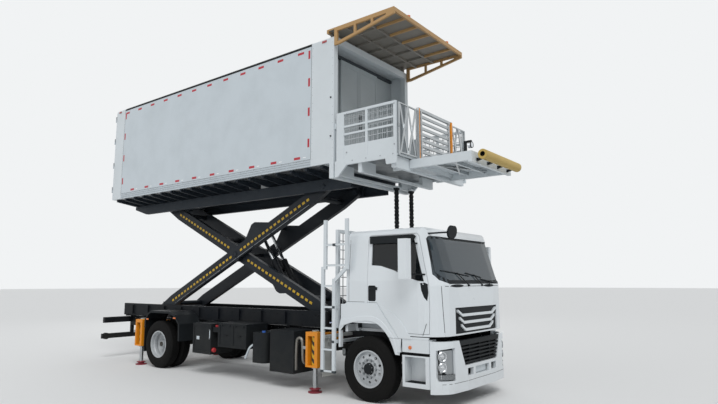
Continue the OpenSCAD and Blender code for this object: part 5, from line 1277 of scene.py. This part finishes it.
# axle's x, and how far its U bolts stand ahead and behind
for x, apart in ((0, 74), (REAR_AXLE_X, 84)):
    for side in (-1, 1):
        for bolt_x in (x - apart, x + apart):
            for y in (side * 395 - 34, side * 395 + 34):
                bar(bm, (bolt_x, y, HUB_Z - 70), (bolt_x, y, HUB_Z + 190), 9, 8)
                bar(bm, (bolt_x, y, HUB_Z + 188), (bolt_x, y, HUB_Z + 204), 15, 6)
        turned(bm, CHAMBER, (x - 120, side * 620, HUB_Z + 60), (-1, 0, 0), 28)
        bar(bm, (x - 122, side * 620, HUB_Z + 60), (x - 40, side * 620, HUB_Z + 20), 14, 10)
piece("axle_fittings", bm, "chassis", iron_enamel)

# %% [markdown]
# Last come the floodlight's lens and rim, rings at the ends of the foam roller, latches on the
# guards, orange strips on the gate's posts, ridged treads on the ladder's rungs, and its clamps
# and rubber feet.

# %% Platform and ladder fittings
lens, rings, latch, strips = (bmesh.new() for k in range(4))
LAMP_PLACE = (1745, -750, 4105)
turned(lens, [(0.5, 0), (44, 0), (44, 3), (30, 7), (0.5, 9)], LAMP_PLACE, (1, 0, 0), 32)
turned(rings, [(44, -12), (52, -12), (53, 3), (50, 6), (44, 4)], LAMP_PLACE, (1, 0, 0), 32)
for side in (-1, 1):
    turned(rings, [(30, 0), (41, 0), (41, 6), (30, 6)], (ROLLER_X, side * 664, ROLLER_Z),
           (0, side, 0), 32)
    for x, z in ((-430, 4900), (-430, 4200), (590, 4900), (590, 4200)):
        side_bar(latch, side, x, z, 1247, 1256, 13, 6)
    for x in (-300, 0, 300, 560):
        side_bar(latch, side, x, 4040, 1249, 1257, 10, 6)
    for y in (560, 1165):
        side_block(latch, side, (626, y, 4500), (660, y + 40, 4560), 4)
STRIP_LOW, STRIP_HIGH = 4060, 4960
for x0, y0, x1, y1 in ((678, -594, 684, -574), (678, 562, 684, 608), (624, 555, 680, 561)):
    block(strips, (x0, y0, STRIP_LOW), (x1, y1, STRIP_HIGH), 1)
piece("gate_strips", strips, "platform", orange_powder)
piece("floodlight_lens", lens, "bridge", lamp_reflector)
piece("bridge_rings", rings, "bridge", black_moulding)
piece("guard_latches", latch, "platform", zinc_steel)

bm = bmesh.new()
RUNG_Z, RUNG_PITCH, RIDGE_PITCH = 430, 358, 22
for i in range(7):
    z = RUNG_Z + RUNG_PITCH * i
    low, high = (-890, -690) if i < 5 else (-840, -410)
    for k in range(int((high - low) / RIDGE_PITCH)):
        x = low + 12 + RIDGE_PITCH * k
        block(bm, (x - 4, -1308, z + 15), (x + 4, -1274, z + 18.5))
piece("ladder_treads", bm, "chassis", zinc_steel, smooth=0)
bm = bmesh.new()
for x in (-917, -662):
    block(bm, (x - 38, -1314, 404), (x + 38, -1270, 446), 6)
for x, z in ((-670, 925), (-662, 1504), (-662, 2578)):
    block(bm, (x - 30, -1316, z - 22), (x + 30, -1268, z + 22), 5)
piece("ladder_feet", bm, "chassis", grey_moulding)

# %% Last step
low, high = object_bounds()
